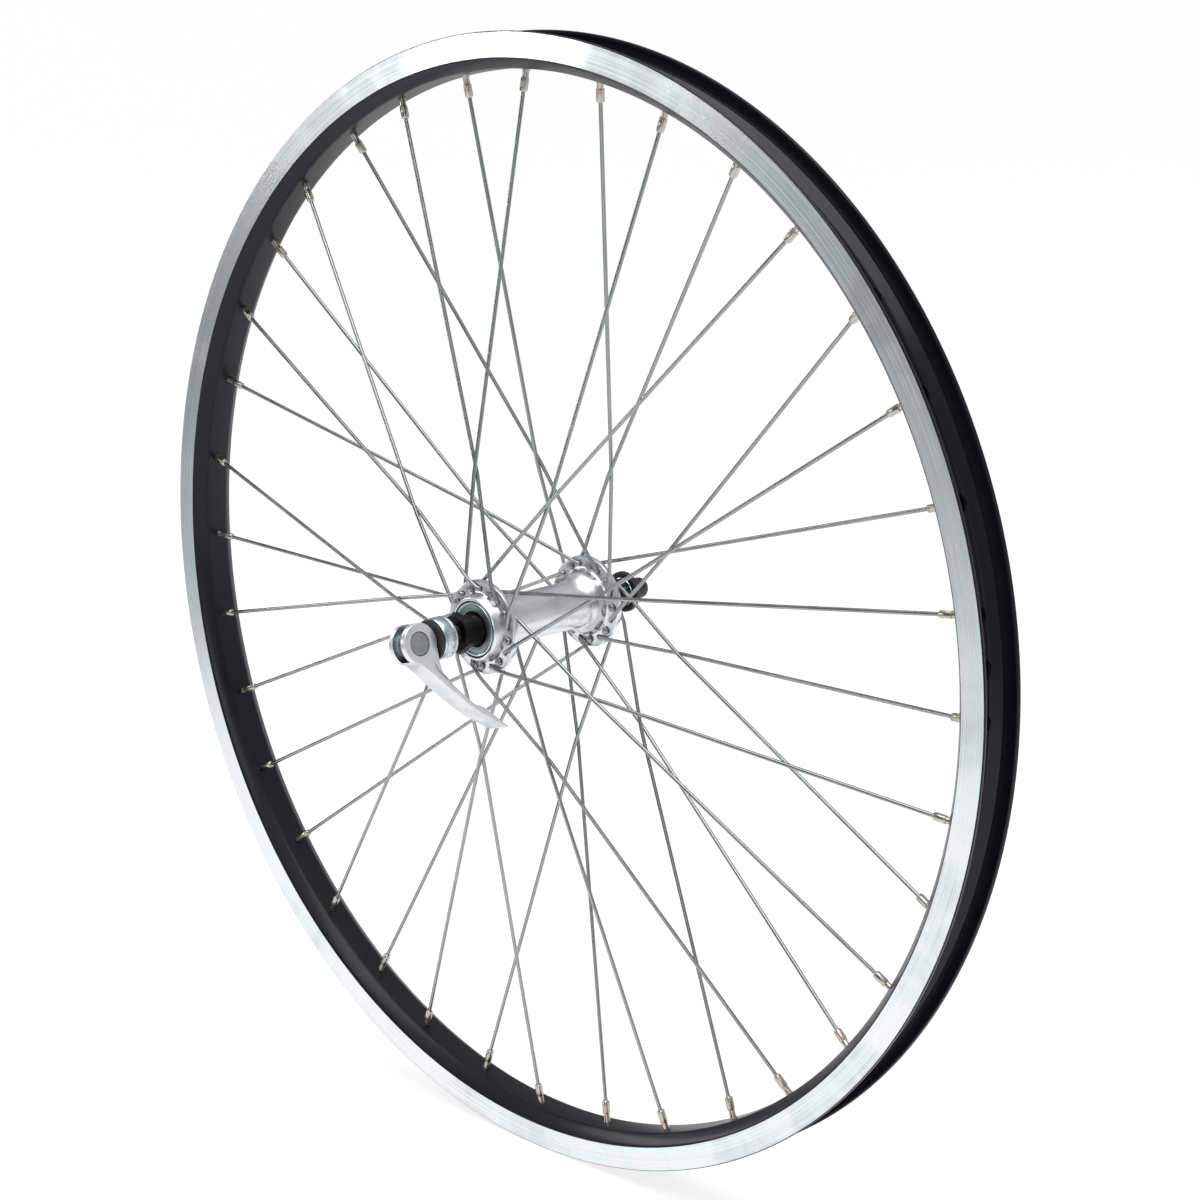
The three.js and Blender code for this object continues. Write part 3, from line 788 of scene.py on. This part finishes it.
key_outline = [
    (0.0, -NIPPLE_REACH),
    (1.13, -NIPPLE_REACH),
    (1.45, -NIPPLE_REACH + 0.23),
    (1.81, -NIPPLE_REACH + 0.82),
    (1.81, KEY_LENGTH - NIPPLE_REACH - 0.45),
    (1.59, KEY_LENGTH - NIPPLE_REACH),
    (0.0, KEY_LENGTH - NIPPLE_REACH),
]
neck_outline = [
    (0.0, KEY_LENGTH - NIPPLE_REACH - 0.36),
    (1.47, KEY_LENGTH - NIPPLE_REACH - 0.36),
    (1.47, -1.45),
    (1.72, -0.45),
    (1.72, 2.09),
    (2.63, 2.36),
    (2.72, 2.9),
    (2.36, 3.63),
    (1.45, 3.99),
    (0.0, 3.99),
]
key = turned_up("key", key_outline, 24)
for quarter in range(4):
    direction = Matrix.Rotation(math.radians(90 * quarter), 3, "Z") @ Vector((1, 0, 0))
    slice_off(key, direction * 1.52 * MM, direction)
round_edges(key, 0.12, 1, 40)
nipple = join(key, turned_up("neck", neck_outline, 20))
nipple.name = "nipple"
nipple.data.materials.append(FINISHES["nipple_nickel"])
smooth(nipple, 40)
print("nipple has", len(nipple.data.polygons), "faces")

# %% [markdown]
# ## A spoke
# The wire is a curve given a round thickness and made a mesh. Its head is a small turned
# mushroom. Only four spokes are different: left and right, inside and outside. The other
# thirty-two are copies, turned by forty degrees at a time round the axle.

# %% Wire, head and nipple


def wire(name, points, radius, sides=3):
    """A round wire through points, in metres, with its ends filled."""
    bpy.ops.object.select_all(action="DESELECT")
    bpy.ops.curve.primitive_nurbs_path_add()
    piece = bpy.context.object
    piece.name = name
    curve = piece.data
    curve.splines.clear()
    spline = curve.splines.new("POLY")
    spline.points.add(len(points) - 1)
    for corner, point in zip(spline.points, points):
        corner.co = (*point, 1)
    curve.dimensions = "3D"
    curve.bevel_depth = radius * MM
    curve.bevel_resolution = sides
    curve.use_fill_caps = True
    select_only(piece)
    bpy.ops.object.convert(target="MESH")
    piece = bpy.context.object
    tidy(piece)
    return piece


head_outline = [
    (0.0, 0.0),
    (1.36, 0.0),
    (1.77, 0.23),
    (1.81, 0.54),
    (1.54, 0.91),
    (0.91, 1.09),
    (0.0, 1.13),
]


def make_spoke(number):
    points, head_side = spoke_path(number)
    outward = (points[-1] - points[-2]).normalized()
    path = points[:-1] + [points[-1] + outward * 2 * MM]
    body = wire(f"spoke_{number:02d}_wire", path, SPOKE_RADIUS)
    body.data.materials.append(FINISHES["spoke_steel"])
    head = turned_up("head", head_outline, 20)
    head.data.materials.append(FINISHES["spoke_steel"])
    foot = points[0] + Vector((0, head_side * HEAD_HEIGHT / 2 * MM, 0))
    settle(head, aim(foot, Vector((0, -head_side, 0))))
    smooth(head, 50)
    smooth(body, 50)
    nut = copy_of(nipple, "nut")
    settle(nut, aim(points[-1], outward))
    spoke = join(body, head, nut)
    spoke.name = f"spoke_{number:02d}_steel"
    return spoke


spoke_faces = 0
for first in (1, 2, 3, 4):
    model = make_spoke(first)
    for number in range(first + 4, 37, 4):
        spoke = copy_of(model, f"spoke_{number:02d}_steel")
        settle(spoke, Matrix.Rotation(math.radians(10 * (number - first)), 4, "Y"))
        dress(spoke, "wheel", "spoke_steel", f"spoke_{number:02d}")
        spoke_faces += len(spoke.data.polygons)
    dress(model, "wheel", "spoke_steel", f"spoke_{first:02d}")
bpy.data.objects.remove(nipple)
print("36 spokes,", spoke_faces, "faces in the copies")

# %% [markdown]
# ## The hub shell
# The shell is turned from one outline, from the bearing lip over the flange and the housing to
# the barrel, and mirrored. The spoke holes are cut afterwards, with one cylinder for each spoke
# that passes through both faces of its flange. The narrow gap just inside the bearing lip looks
# black on the real hub, where shade falls into it, so its faces are given the black finish as
# painted shade.

# %% Hub shell
hub_half = [
    (11.15, 0.0),
    (11.15, 18.6),
    (11.3, 20.9),
    (11.9, 23.0),
    (13.0, 24.7),
    (14.0, 25.9),
    (14.5, 27.2),
    (14.7, 28.8),
    (15.1, 30.3),
    (15.8, 31.0),
    (16.5, FLANGE_IN),
    (FLANGE_RADIUS - 0.6, FLANGE_IN),
    (FLANGE_RADIUS - 0.15, FLANGE_IN + 0.25),
    (FLANGE_RADIUS, FLANGE_IN + 0.7),
    (FLANGE_RADIUS, FLANGE_OUT - 0.7),
    (FLANGE_RADIUS - 0.15, FLANGE_OUT - 0.25),
    (FLANGE_RADIUS - 0.6, FLANGE_OUT),
    (16.4, FLANGE_OUT),
    (15.95, FLANGE_OUT + 0.15),
    (15.8, FLANGE_OUT + 0.6),
    (14.6, 37.9),
    (14.3, 38.6),
    (13.9, 38.95),
    (13.4, 39.0),
    (13.05, 38.8),
    (13.0, 38.4),
    (13.0, 37.3),
    (12.4, 37.3),
    (12.4, 30.4),
    (8.6, 30.4),
    (8.6, 0.0),
]
hub = turned("hub_shell_polished", both_halves(hub_half), 144)
drills = []
for number in range(1, 37):
    rule = LACING[number % 4]
    angle = nipple_angle(number) - rule["turn"] * SPAN
    start = polar(HOLE_CIRCLE, angle, rule["side"] * (FLANGE_IN - 1))
    stop = polar(HOLE_CIRCLE, angle, rule["side"] * (FLANGE_OUT + 1))
    drills.append(round_bar(1.3, start, stop, 20))
cut(hub, join(*drills))
tidy(hub)
smooth(hub, 28)
hub.data.materials.append(FINISHES["polished_aluminium"])
hub.data.materials.append(FINISHES["black_steel"])
# Painted shade: the faces in the narrow gap inside the bearing lip get the black finish.
for face in hub.data.polygons:
    lip_gap_painted_shade = math.hypot(face.center.x, face.center.z) < 12.98 * MM
    if lip_gap_painted_shade and abs(face.center.y) > 37.0 * MM:
        face.material_index = 1
dress(hub, "wheel", "polished_aluminium", "hub_shell")
print("hub shell has", len(hub.data.polygons), "faces")

# %% [markdown]
# ## Bearings and axle
# A pressed dust cap closes each bearing round the cone. It has a bright rolled rim and a dull
# dished face. The cone comes out through it, with two flats for a thin key, and the locknut
# clamps it on its round foot. The cups and balls stay as the CAD model has them, because the
# caps hide them. The axle's thread is turned as ridges, which at this size looks the same as a
# helix.

# %% Dust caps
CAP_BACK, CAP_FACE = along_axle("right_dust_cap")[:2]
CONE_RADIUS = 7.25
for name, side in (("left", -1), ("right", 1)):
    rim_outline = [
        (11.55, CAP_BACK),
        (12.3, CAP_BACK),
        (12.4, CAP_BACK + 0.2),
        (12.4, CAP_FACE - 0.25),
        (12.2, CAP_FACE),
        (11.8, CAP_FACE + 0.05),
        (11.55, CAP_FACE - 0.15),
    ]
    rolled_rim = turned(f"{name}_cap_rim", rim_outline, 96, side)
    rolled_rim.data.materials.append(FINISHES["zinc_steel"])
    dish_outline = [
        (CONE_RADIUS + 0.85, CAP_BACK + 0.1),
        (11.6, CAP_BACK + 0.1),
        (11.6, CAP_FACE - 0.5),
        (11.1, CAP_FACE - 0.6),
        (10.8, CAP_FACE - 0.4),
        (9.4, CAP_FACE - 0.3),
        (9.2, CAP_FACE - 0.5),
        (CONE_RADIUS + 1.1, CAP_FACE - 0.5),
        (CONE_RADIUS + 0.85, CAP_FACE - 0.75),
    ]
    dish = turned("dish", dish_outline, 96, side)
    dish.data.materials.append(FINISHES["grey_seal"])
    cap = join(rolled_rim, dish)
    cap.name = f"{name}_dust_cap_pressed"
    smooth(cap, 40)
    dress(cap, "wheel", "grey_seal", f"{name}_dust_cap")
print("dust caps from", round(CAP_BACK, 2), "to", round(CAP_FACE, 2))

# %% Cones
CONE_FACE = along_axle("right_cone")[1]
BALL_CIRCLE, BALL_PLANE, RACE = 8.98, 34.77, 2.68
for name, side in (("left", -1), ("right", 1)):
    cone_outline = [
        (4.8, BALL_PLANE - 2.35),
        (5.5, BALL_PLANE - 2.35),
        (6.3, BALL_PLANE - 1.55),
        *arc((BALL_CIRCLE, BALL_PLANE), RACE, 180, 110, 6),
        (CONE_RADIUS + 0.15, CAP_BACK),
        (CONE_RADIUS, CAP_BACK + 0.3),
        (CONE_RADIUS, CONE_FACE - 0.4),
        (CONE_RADIUS - 0.4, CONE_FACE),
        (4.8, CONE_FACE),
    ]
    cone = turned(f"{name}_cone_turned", cone_outline, 96, side)
    flats = []
    for direction in (-1, 1):
        bpy.ops.object.select_all(action="DESELECT")
        place = (0, side * (CAP_FACE + 1.4) * MM, direction * 8.5 * MM)
        bpy.ops.mesh.primitive_cube_add(size=1, location=place)
        block = bpy.context.object
        block.scale = (20 * MM, 2.0 * MM, 4 * MM)
        select_only(block)
        bpy.ops.object.transform_apply(location=True, rotation=True, scale=True)
        flats.append(block)
    cut(cone, join(*flats))
    cone.data.materials.append(FINISHES["black_steel"])
    # Painted reflection: the key flats get the bright steel finish to show the glint they catch, while on
    # the cone they are black like the rest.
    cone.data.materials.append(FINISHES["bright_steel"])
    for face in cone.data.polygons:
        near_flat = abs(abs(face.center.y) - (CAP_FACE + 1.4) * MM) < 1.2 * MM
        if abs(face.normal.z) > 0.99 and near_flat:
            face.material_index = 1
    smooth(cone, 30)
    dress(cone, "axle_set", "black_steel", f"{name}_cone")
print("cones out to", round(CONE_FACE, 2))

# %% Locknuts
NUT_BACK, NUT_FACE, ACROSS = 46.2, 50.0, 16.5
corner = ACROSS / math.sqrt(3)
for name, side in (("left", -1), ("right", 1)):
    hexagon_outline = [(4.6, NUT_BACK), (corner, NUT_BACK), (corner, NUT_FACE), (4.6, NUT_FACE)]
    hexagon = turned("hexagon", hexagon_outline, 6, side)
    settle(hexagon, Matrix.Rotation(math.radians(-40), 4, "Y"))
    chamfer_outline = [
        (0, NUT_BACK - 1),
        (corner - 0.3, NUT_BACK - 1),
        (corner - 0.3, NUT_BACK),
        (corner + 0.1, NUT_BACK + 0.3),
        (corner + 0.1, NUT_FACE - 1.15),
        (ACROSS / 2 - 0.1, NUT_FACE),
        (ACROSS / 2 - 0.1, NUT_FACE + 1),
        (0, NUT_FACE + 1),
    ]
    cut(hexagon, turned("chamfer", chamfer_outline, 96, side), "INTERSECT")
    bore = turned("bore", [(0, 45), (4.85, 45), (4.85, 51), (0, 51)], 48, side)
    cut(hexagon, bore)
    foot_outline = [
        (4.85, CONE_FACE + 0.2),
        (7.0, CONE_FACE + 0.2),
        (7.25, CONE_FACE + 0.45),
        (7.25, NUT_BACK - 0.2),
        (7.05, NUT_BACK + 0.02),
        (4.85, NUT_BACK + 0.02),
    ]
    foot = turned("foot", foot_outline, 64, side)
    locknut = join(hexagon, foot)
    locknut.name = f"{name}_locknut_black"
    round_edges(locknut, 0.12, 1, 40)
    smooth(locknut, 25)
    dress(locknut, "axle_set", "black_steel", f"{name}_locknut")
print("locknut corners at", round(corner, 2))

# %% Axle
axle_end = along_axle("axle")[1]
axle_half = [(4.5, 0.0), (4.5, 30.0)]
ridge = 30.0
while ridge < axle_end - 1.4:
    axle_half += [(4.1, ridge + 0.5), (4.5, ridge + 1.0)]
    ridge += 1.0
axle_half += [(4.0, axle_end - 0.1), (3.8, axle_end), (3.0, axle_end), (3.0, 0.0)]
axle = turned("axle_threaded", both_halves(axle_half), 48)
smooth(axle, 40)
dress(axle, "axle_set", "black_steel", "axle")
print("axle is", round(2 * axle_end, 1), "mm long")

# %% [markdown]
# ## The skewer
# A steel rod runs through the hollow axle. A zinc-plated collar and a black pad slide on it at
# the lever's end, and a nut with a steel face screws onto the other. Two cone-shaped springs keep
# the collar and the nut apart from the hub. Each spring is a wire wound as a flat cone.

# %% Rod and collar
rod_low, rod_high, rod_radius = along_axle("skewer_rod")
rod_outline = [
    (0, rod_low),
    (rod_radius - 0.4, rod_low),
    (rod_radius, rod_low + 0.4),
    (rod_radius, rod_high - 0.5),
    (rod_radius - 0.5, rod_high),
    (0, rod_high),
]
rod = turned("skewer_rod_steel", rod_outline, 32)
smooth(rod, 40)
dress(rod, "skewer", "zinc_steel", "skewer_rod")

collar_low, collar_high, collar_radius = along_axle("lever_collar")
face, end = -collar_high, -collar_low
collar_outline = [
    (2.8, face + 1.1),
    (7.1, face + 1.1),
    (7.4, face + 0.8),
    (7.6, face + 0.1),
    (7.9, face),
    (collar_radius - 0.6, face),
    (collar_radius - 0.15, face + 0.2),
    (collar_radius, face + 0.7),
    (collar_radius, face + 1.5),
    (collar_radius - 0.12, face + 1.65),
    (collar_radius, face + 1.8),
    (collar_radius, end - 0.4),
    (collar_radius - 0.3, end),
    (7.1, end),
    (7.1, end - 1.5),
    (2.8, end - 1.5),
]
collar = turned("lever_collar_plated", collar_outline, 128, -1)
smooth(collar, 40)
dress(collar, "collar", "zinc_steel", "lever_collar")
print("collar from", round(face, 2), "to", round(end, 2))

# %% Pad
pad_low, pad_high, pad_radius = along_axle("cam_pad")
pad_radius -= 0.6  # the head's edge stands a little proud of the pad
back_face, front_face = -pad_high, -pad_low
pad_outline = [
    (2.8, back_face),
    (6.8, back_face),
    (6.8, end + 0.3),
    (pad_radius - 0.2, end + 0.3),
    (pad_radius, end + 0.5),
    (pad_radius, front_face - 0.4),
    (pad_radius - 0.4, front_face),
    (2.8, front_face),
]
pad = turned("cam_pad_black", pad_outline, 96, -1)
smooth(pad, 40)
dress(pad, "collar", "black_plastic", "cam_pad")
print("pad radius", round(pad_radius, 2))

# %% Springs


def spring_points(side, start, stop, narrow, wide, turns=3, per_turn=24):
    points = []
    count = turns * per_turn
    for i in range(count + 1):
        share = i / count
        radius = narrow + (wide - narrow) * share
        along = side * (start + (stop - start) * share)
        points.append(polar(radius, 360 * turns * share, along))
    return points


for name, side in (("left", -1), ("right", 1)):
    spring = wire(f"{name}_spring_wire", spring_points(side, 52.5, 54.8, 3.5, 6.8), 0.4, 2)
    smooth(spring, 60)
    spring.data.materials.append(FINISHES["black_steel"])
    foot, top = (0, side * 52.1 * MM, 0), (0, side * 55.2 * MM, 0)
    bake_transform(spring)
    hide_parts(f"{name}_spring")
print("two springs")

# %% [markdown]
# ## The cam lever
# The lever is a casting: a round two-eared head, off centre on its pin so that it works as a cam,
# and a flat arm that bends towards the wheel. Its side is drawn as an outline, extruded to the
# arm's width, narrowed to the head's width at the root, and rounded. The head is a cylinder
# joined on by a boolean. The slot for the rod, the pin's hole, the pockets by the root and the
# thumb's hollow near the tip are cut out. The slot looks darker than the satin outside. Its walls
# are given the plated finish, partly for their own polish and partly as painted shade, and its
# deep end the black finish as painted shadow.

# %% Lever outline
PIN_TURN = 13.5
PIN_PLANE = 74.775
reach_way = Vector((math.sin(math.radians(PIN_TURN)), 0, -math.cos(math.radians(PIN_TURN))))
pin_way = Vector((math.cos(math.radians(PIN_TURN)), 0, math.sin(math.radians(PIN_TURN))))
lever_frame = Matrix((reach_way, (0, 1, 0), pin_way)).transposed().to_4x4()
lever_frame = Matrix.Translation((0, -PIN_PLANE * MM, 0)) @ lever_frame
CAM_RADIUS, CAM_THROW, CAM_REACH = 9.125, 0.6, 9.725
HEAD_WIDTH, ARM_WIDTH = 11.25, 12.7
arm_outline = [
    (2.7, -4.5),
    (3.6, -0.4),
    (9.5, -0.7),
    (12.0, -0.5),
    (14.5, 0.0),
    (17.2, 1.2),
    (20.9, 3.6),
    (24.9, 7.1),
    (28.6, 10.5),
    (31.3, 13.1),
    (32.3, 14.5),
    (33.2, 16.7),
    (34.5, 18.8),
    (38.5, 23.0),
    (42.2, 26.8),
    (45.2, 29.9),
    (45.8, 29.6),
    (45.6, 28.6),
    (43.4, 25.6),
    (40.2, 21.0),
    (36.5, 16.0),
    (32.4, 11.3),
    (22.9, 2.0),
    (13.0, -7.1),
    (6.0, -14.1),
]


def plate(name, outline, width, lift=0.0):
    """A flat outline in the lever's own frame, extruded along the pin to a width."""
    corners = [Vector((x * MM, y * MM, (lift - width / 2) * MM)) for x, y in outline]
    piece = one_vertex(name, corners[0])
    draw(corners)
    bpy.ops.mesh.select_all(action="SELECT")
    bpy.ops.mesh.edge_face_add()
    bpy.ops.mesh.select_all(action="SELECT")
    step = (0, 0, width * MM)
    bpy.ops.mesh.extrude_region_move(TRANSFORM_OT_translate={"value": step})
    object_mode()
    tidy(piece)
    return piece


def across(radius, width, vertices, rise=0.0, lift=0.0):
    """A round bar along the pin, in the lever's own frame."""
    half = Vector((0, 0, width / 2 * MM))
    middle = Vector((0, rise * MM, lift * MM))
    return round_bar(radius, middle - half, middle + half, vertices)


arm = plate("cam_lever_cast", [(x, CAM_REACH + y) for x, y in arm_outline], ARM_WIDTH)
edit(arm)
mesh = bmesh.from_edit_mesh(arm.data)
for vert in mesh.verts:
    vert.select = vert.co.x < 15.5 * MM
mesh.select_flush_mode()
bmesh.update_edit_mesh(arm.data)
bpy.ops.transform.resize(
    value=(1, 1, (HEAD_WIDTH - 0.02) / ARM_WIDTH), center_override=(0, 0, 0)
)
bpy.ops.mesh.select_all(action="DESELECT")
mesh = bmesh.from_edit_mesh(arm.data)
for edge in mesh.edges:
    ends = [vert.co for vert in edge.verts]
    along_thickness = abs(ends[0].z - ends[1].z) < 0.01 * MM
    edge.select = along_thickness and min(ends[0].x, ends[1].x) > 45.1 * MM
bmesh.update_edit_mesh(arm.data)
bpy.ops.mesh.bevel(offset=2.6 * MM, segments=4, affect="EDGES")
object_mode()
round_edges(arm, 0.55, 3, 40)
print("arm has", len(arm.data.polygons), "faces")

# %% Lever head, slot and pockets
head = across(CAM_RADIUS, HEAD_WIDTH, 96, CAM_THROW)
round_edges(head, 0.5, 3, 60)
cut(arm, head, "UNION")
slot_outline = [(-20, 20), (3.3, 20), (3.3, 1), (7.25, -5.45), (7.25, -20), (-20, -20)]
cut(arm, plate("slot", slot_outline, 5.6))
cut(arm, across(5.425, 3 * ARM_WIDTH, 64))
pocket_outline = [(9.6, 6.3), (14.6, 8.6), (18.6, 10.9), (15.0, 7.6), (12.2, 4.6)]
for lift in (-1, 1):
    pocket = plate("pocket", pocket_outline, 2.4, lift * HEAD_WIDTH / 2)
    round_edges(pocket, 0.3, 2, 40)
    cut(arm, pocket)
bpy.ops.object.select_all(action="DESELECT")
bpy.ops.mesh.primitive_uv_sphere_add(segments=48, ring_count=24, radius=1)
hollow = bpy.context.object
hollow.scale = (7.5 * MM, 1.5 * MM, 4.6 * MM)
select_only(hollow)
bpy.ops.object.transform_apply(location=True, rotation=True, scale=True)
slope = Matrix.Rotation(math.radians(51), 4, "Z")
settle(hollow, Matrix.Translation((38.0 * MM, (CAM_REACH + 17.3) * MM, 0)) @ slope)
cut(arm, hollow)
tidy(arm)
arm.data.materials.append(FINISHES["cast_aluminium"])
arm.data.materials.append(FINISHES["zinc_steel"])
arm.data.materials.append(FINISHES["black_steel"])
# Painted shade: the slot's walls get the darker plated finish, partly for their own polish, and its deep
# end gets the black finish as painted shadow.
for face in arm.data.polygons:
    corners = [arm.data.vertices[index].co for index in face.vertices]
    in_slot = all(abs(corner.z) < 2.81 * MM for corner in corners)
    if in_slot and abs(face.normal.z) > 0.95:
        face.material_index = 1
    elif in_slot and face.normal.x < -0.5:
        face.material_index = 2
settle(arm, lever_frame)
smooth(arm, 32)
dress(arm, "lever", "cast_aluminium", "cam_lever")
print("lever has", len(arm.data.polygons), "faces")

# %% Cam pin
pin = across(5.1, HEAD_WIDTH - 0.3, 64)
round_edges(pin, 0.35, 2, 60)
cut(pin, round_bar(2.8, Vector((0, 20 * MM, 0)), Vector((0, -7 * MM, 0)), 48))
settle(pin, lever_frame)
smooth(pin, 35)
dress(pin, "skewer", "grey_pin", "cam_pin")
print("pin at", PIN_PLANE, "mm")

# %% [markdown]
# ## The adjusting nut
# The nut is black plastic moulded over a steel ring, whose face grips the fork. It is turned, a
# wide flange that narrows to a small rounded body.

# %% Adjusting nut
nut_low, nut_high, nut_radius = along_axle("adjusting_nut")
nut_outline = [
    (7.1, nut_low + 2.2),
    (7.1, nut_low + 0.3),
    (7.5, nut_low),
    (nut_radius - 0.5, nut_low),
    (nut_radius, nut_low + 0.5),
    (nut_radius, nut_low + 2.1),
    (nut_radius - 0.5, nut_low + 2.8),
    (6.6, nut_low + 3.9),
    (5.0, nut_low + 4.9),
    (4.6, nut_low + 5.6),
    (4.75, nut_low + 6.3),
    (5.0, nut_low + 6.9),
    (5.0, nut_high - 2.2),
    (4.8, nut_high - 1.2),
    (4.3, nut_high - 0.4),
    (3.6, nut_high),
    (2.8, nut_high),
    (2.8, nut_low + 2.2),
]
nut = turned("adjusting_nut_black", nut_outline, 96)
smooth(nut, 40)
dress(nut, "nut", "black_plastic", "adjusting_nut")
insert_low, insert_high, insert_radius = along_axle("nut_insert")
insert_outline = [
    (2.8, insert_low + 0.7),
    (4.8, insert_low + 0.5),
    (5.2, insert_low),
    (insert_radius - 0.3, insert_low),
    (insert_radius, insert_low + 0.3),
    (insert_radius, insert_high),
    (2.8, insert_high),
]
insert = turned("nut_insert_steel", insert_outline, 96)
smooth(insert, 40)
dress(insert, "insert", "zinc_steel", "nut_insert")
print("nut from", round(nut_low, 2), "to", round(nut_high, 2))

# %% [markdown]
# ## The CAD pieces that stay
# The cups and balls are inside the hub. Their shape is right as it is, so they only get a finish.

# %% Finishes for the cups and balls
for name in ("left_cup", "right_cup", "left_balls", "right_balls"):
    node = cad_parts[name]
    node.data.materials.clear()
    node.data.materials.append(FINISHES["bright_steel"])
print("cups and balls finished")
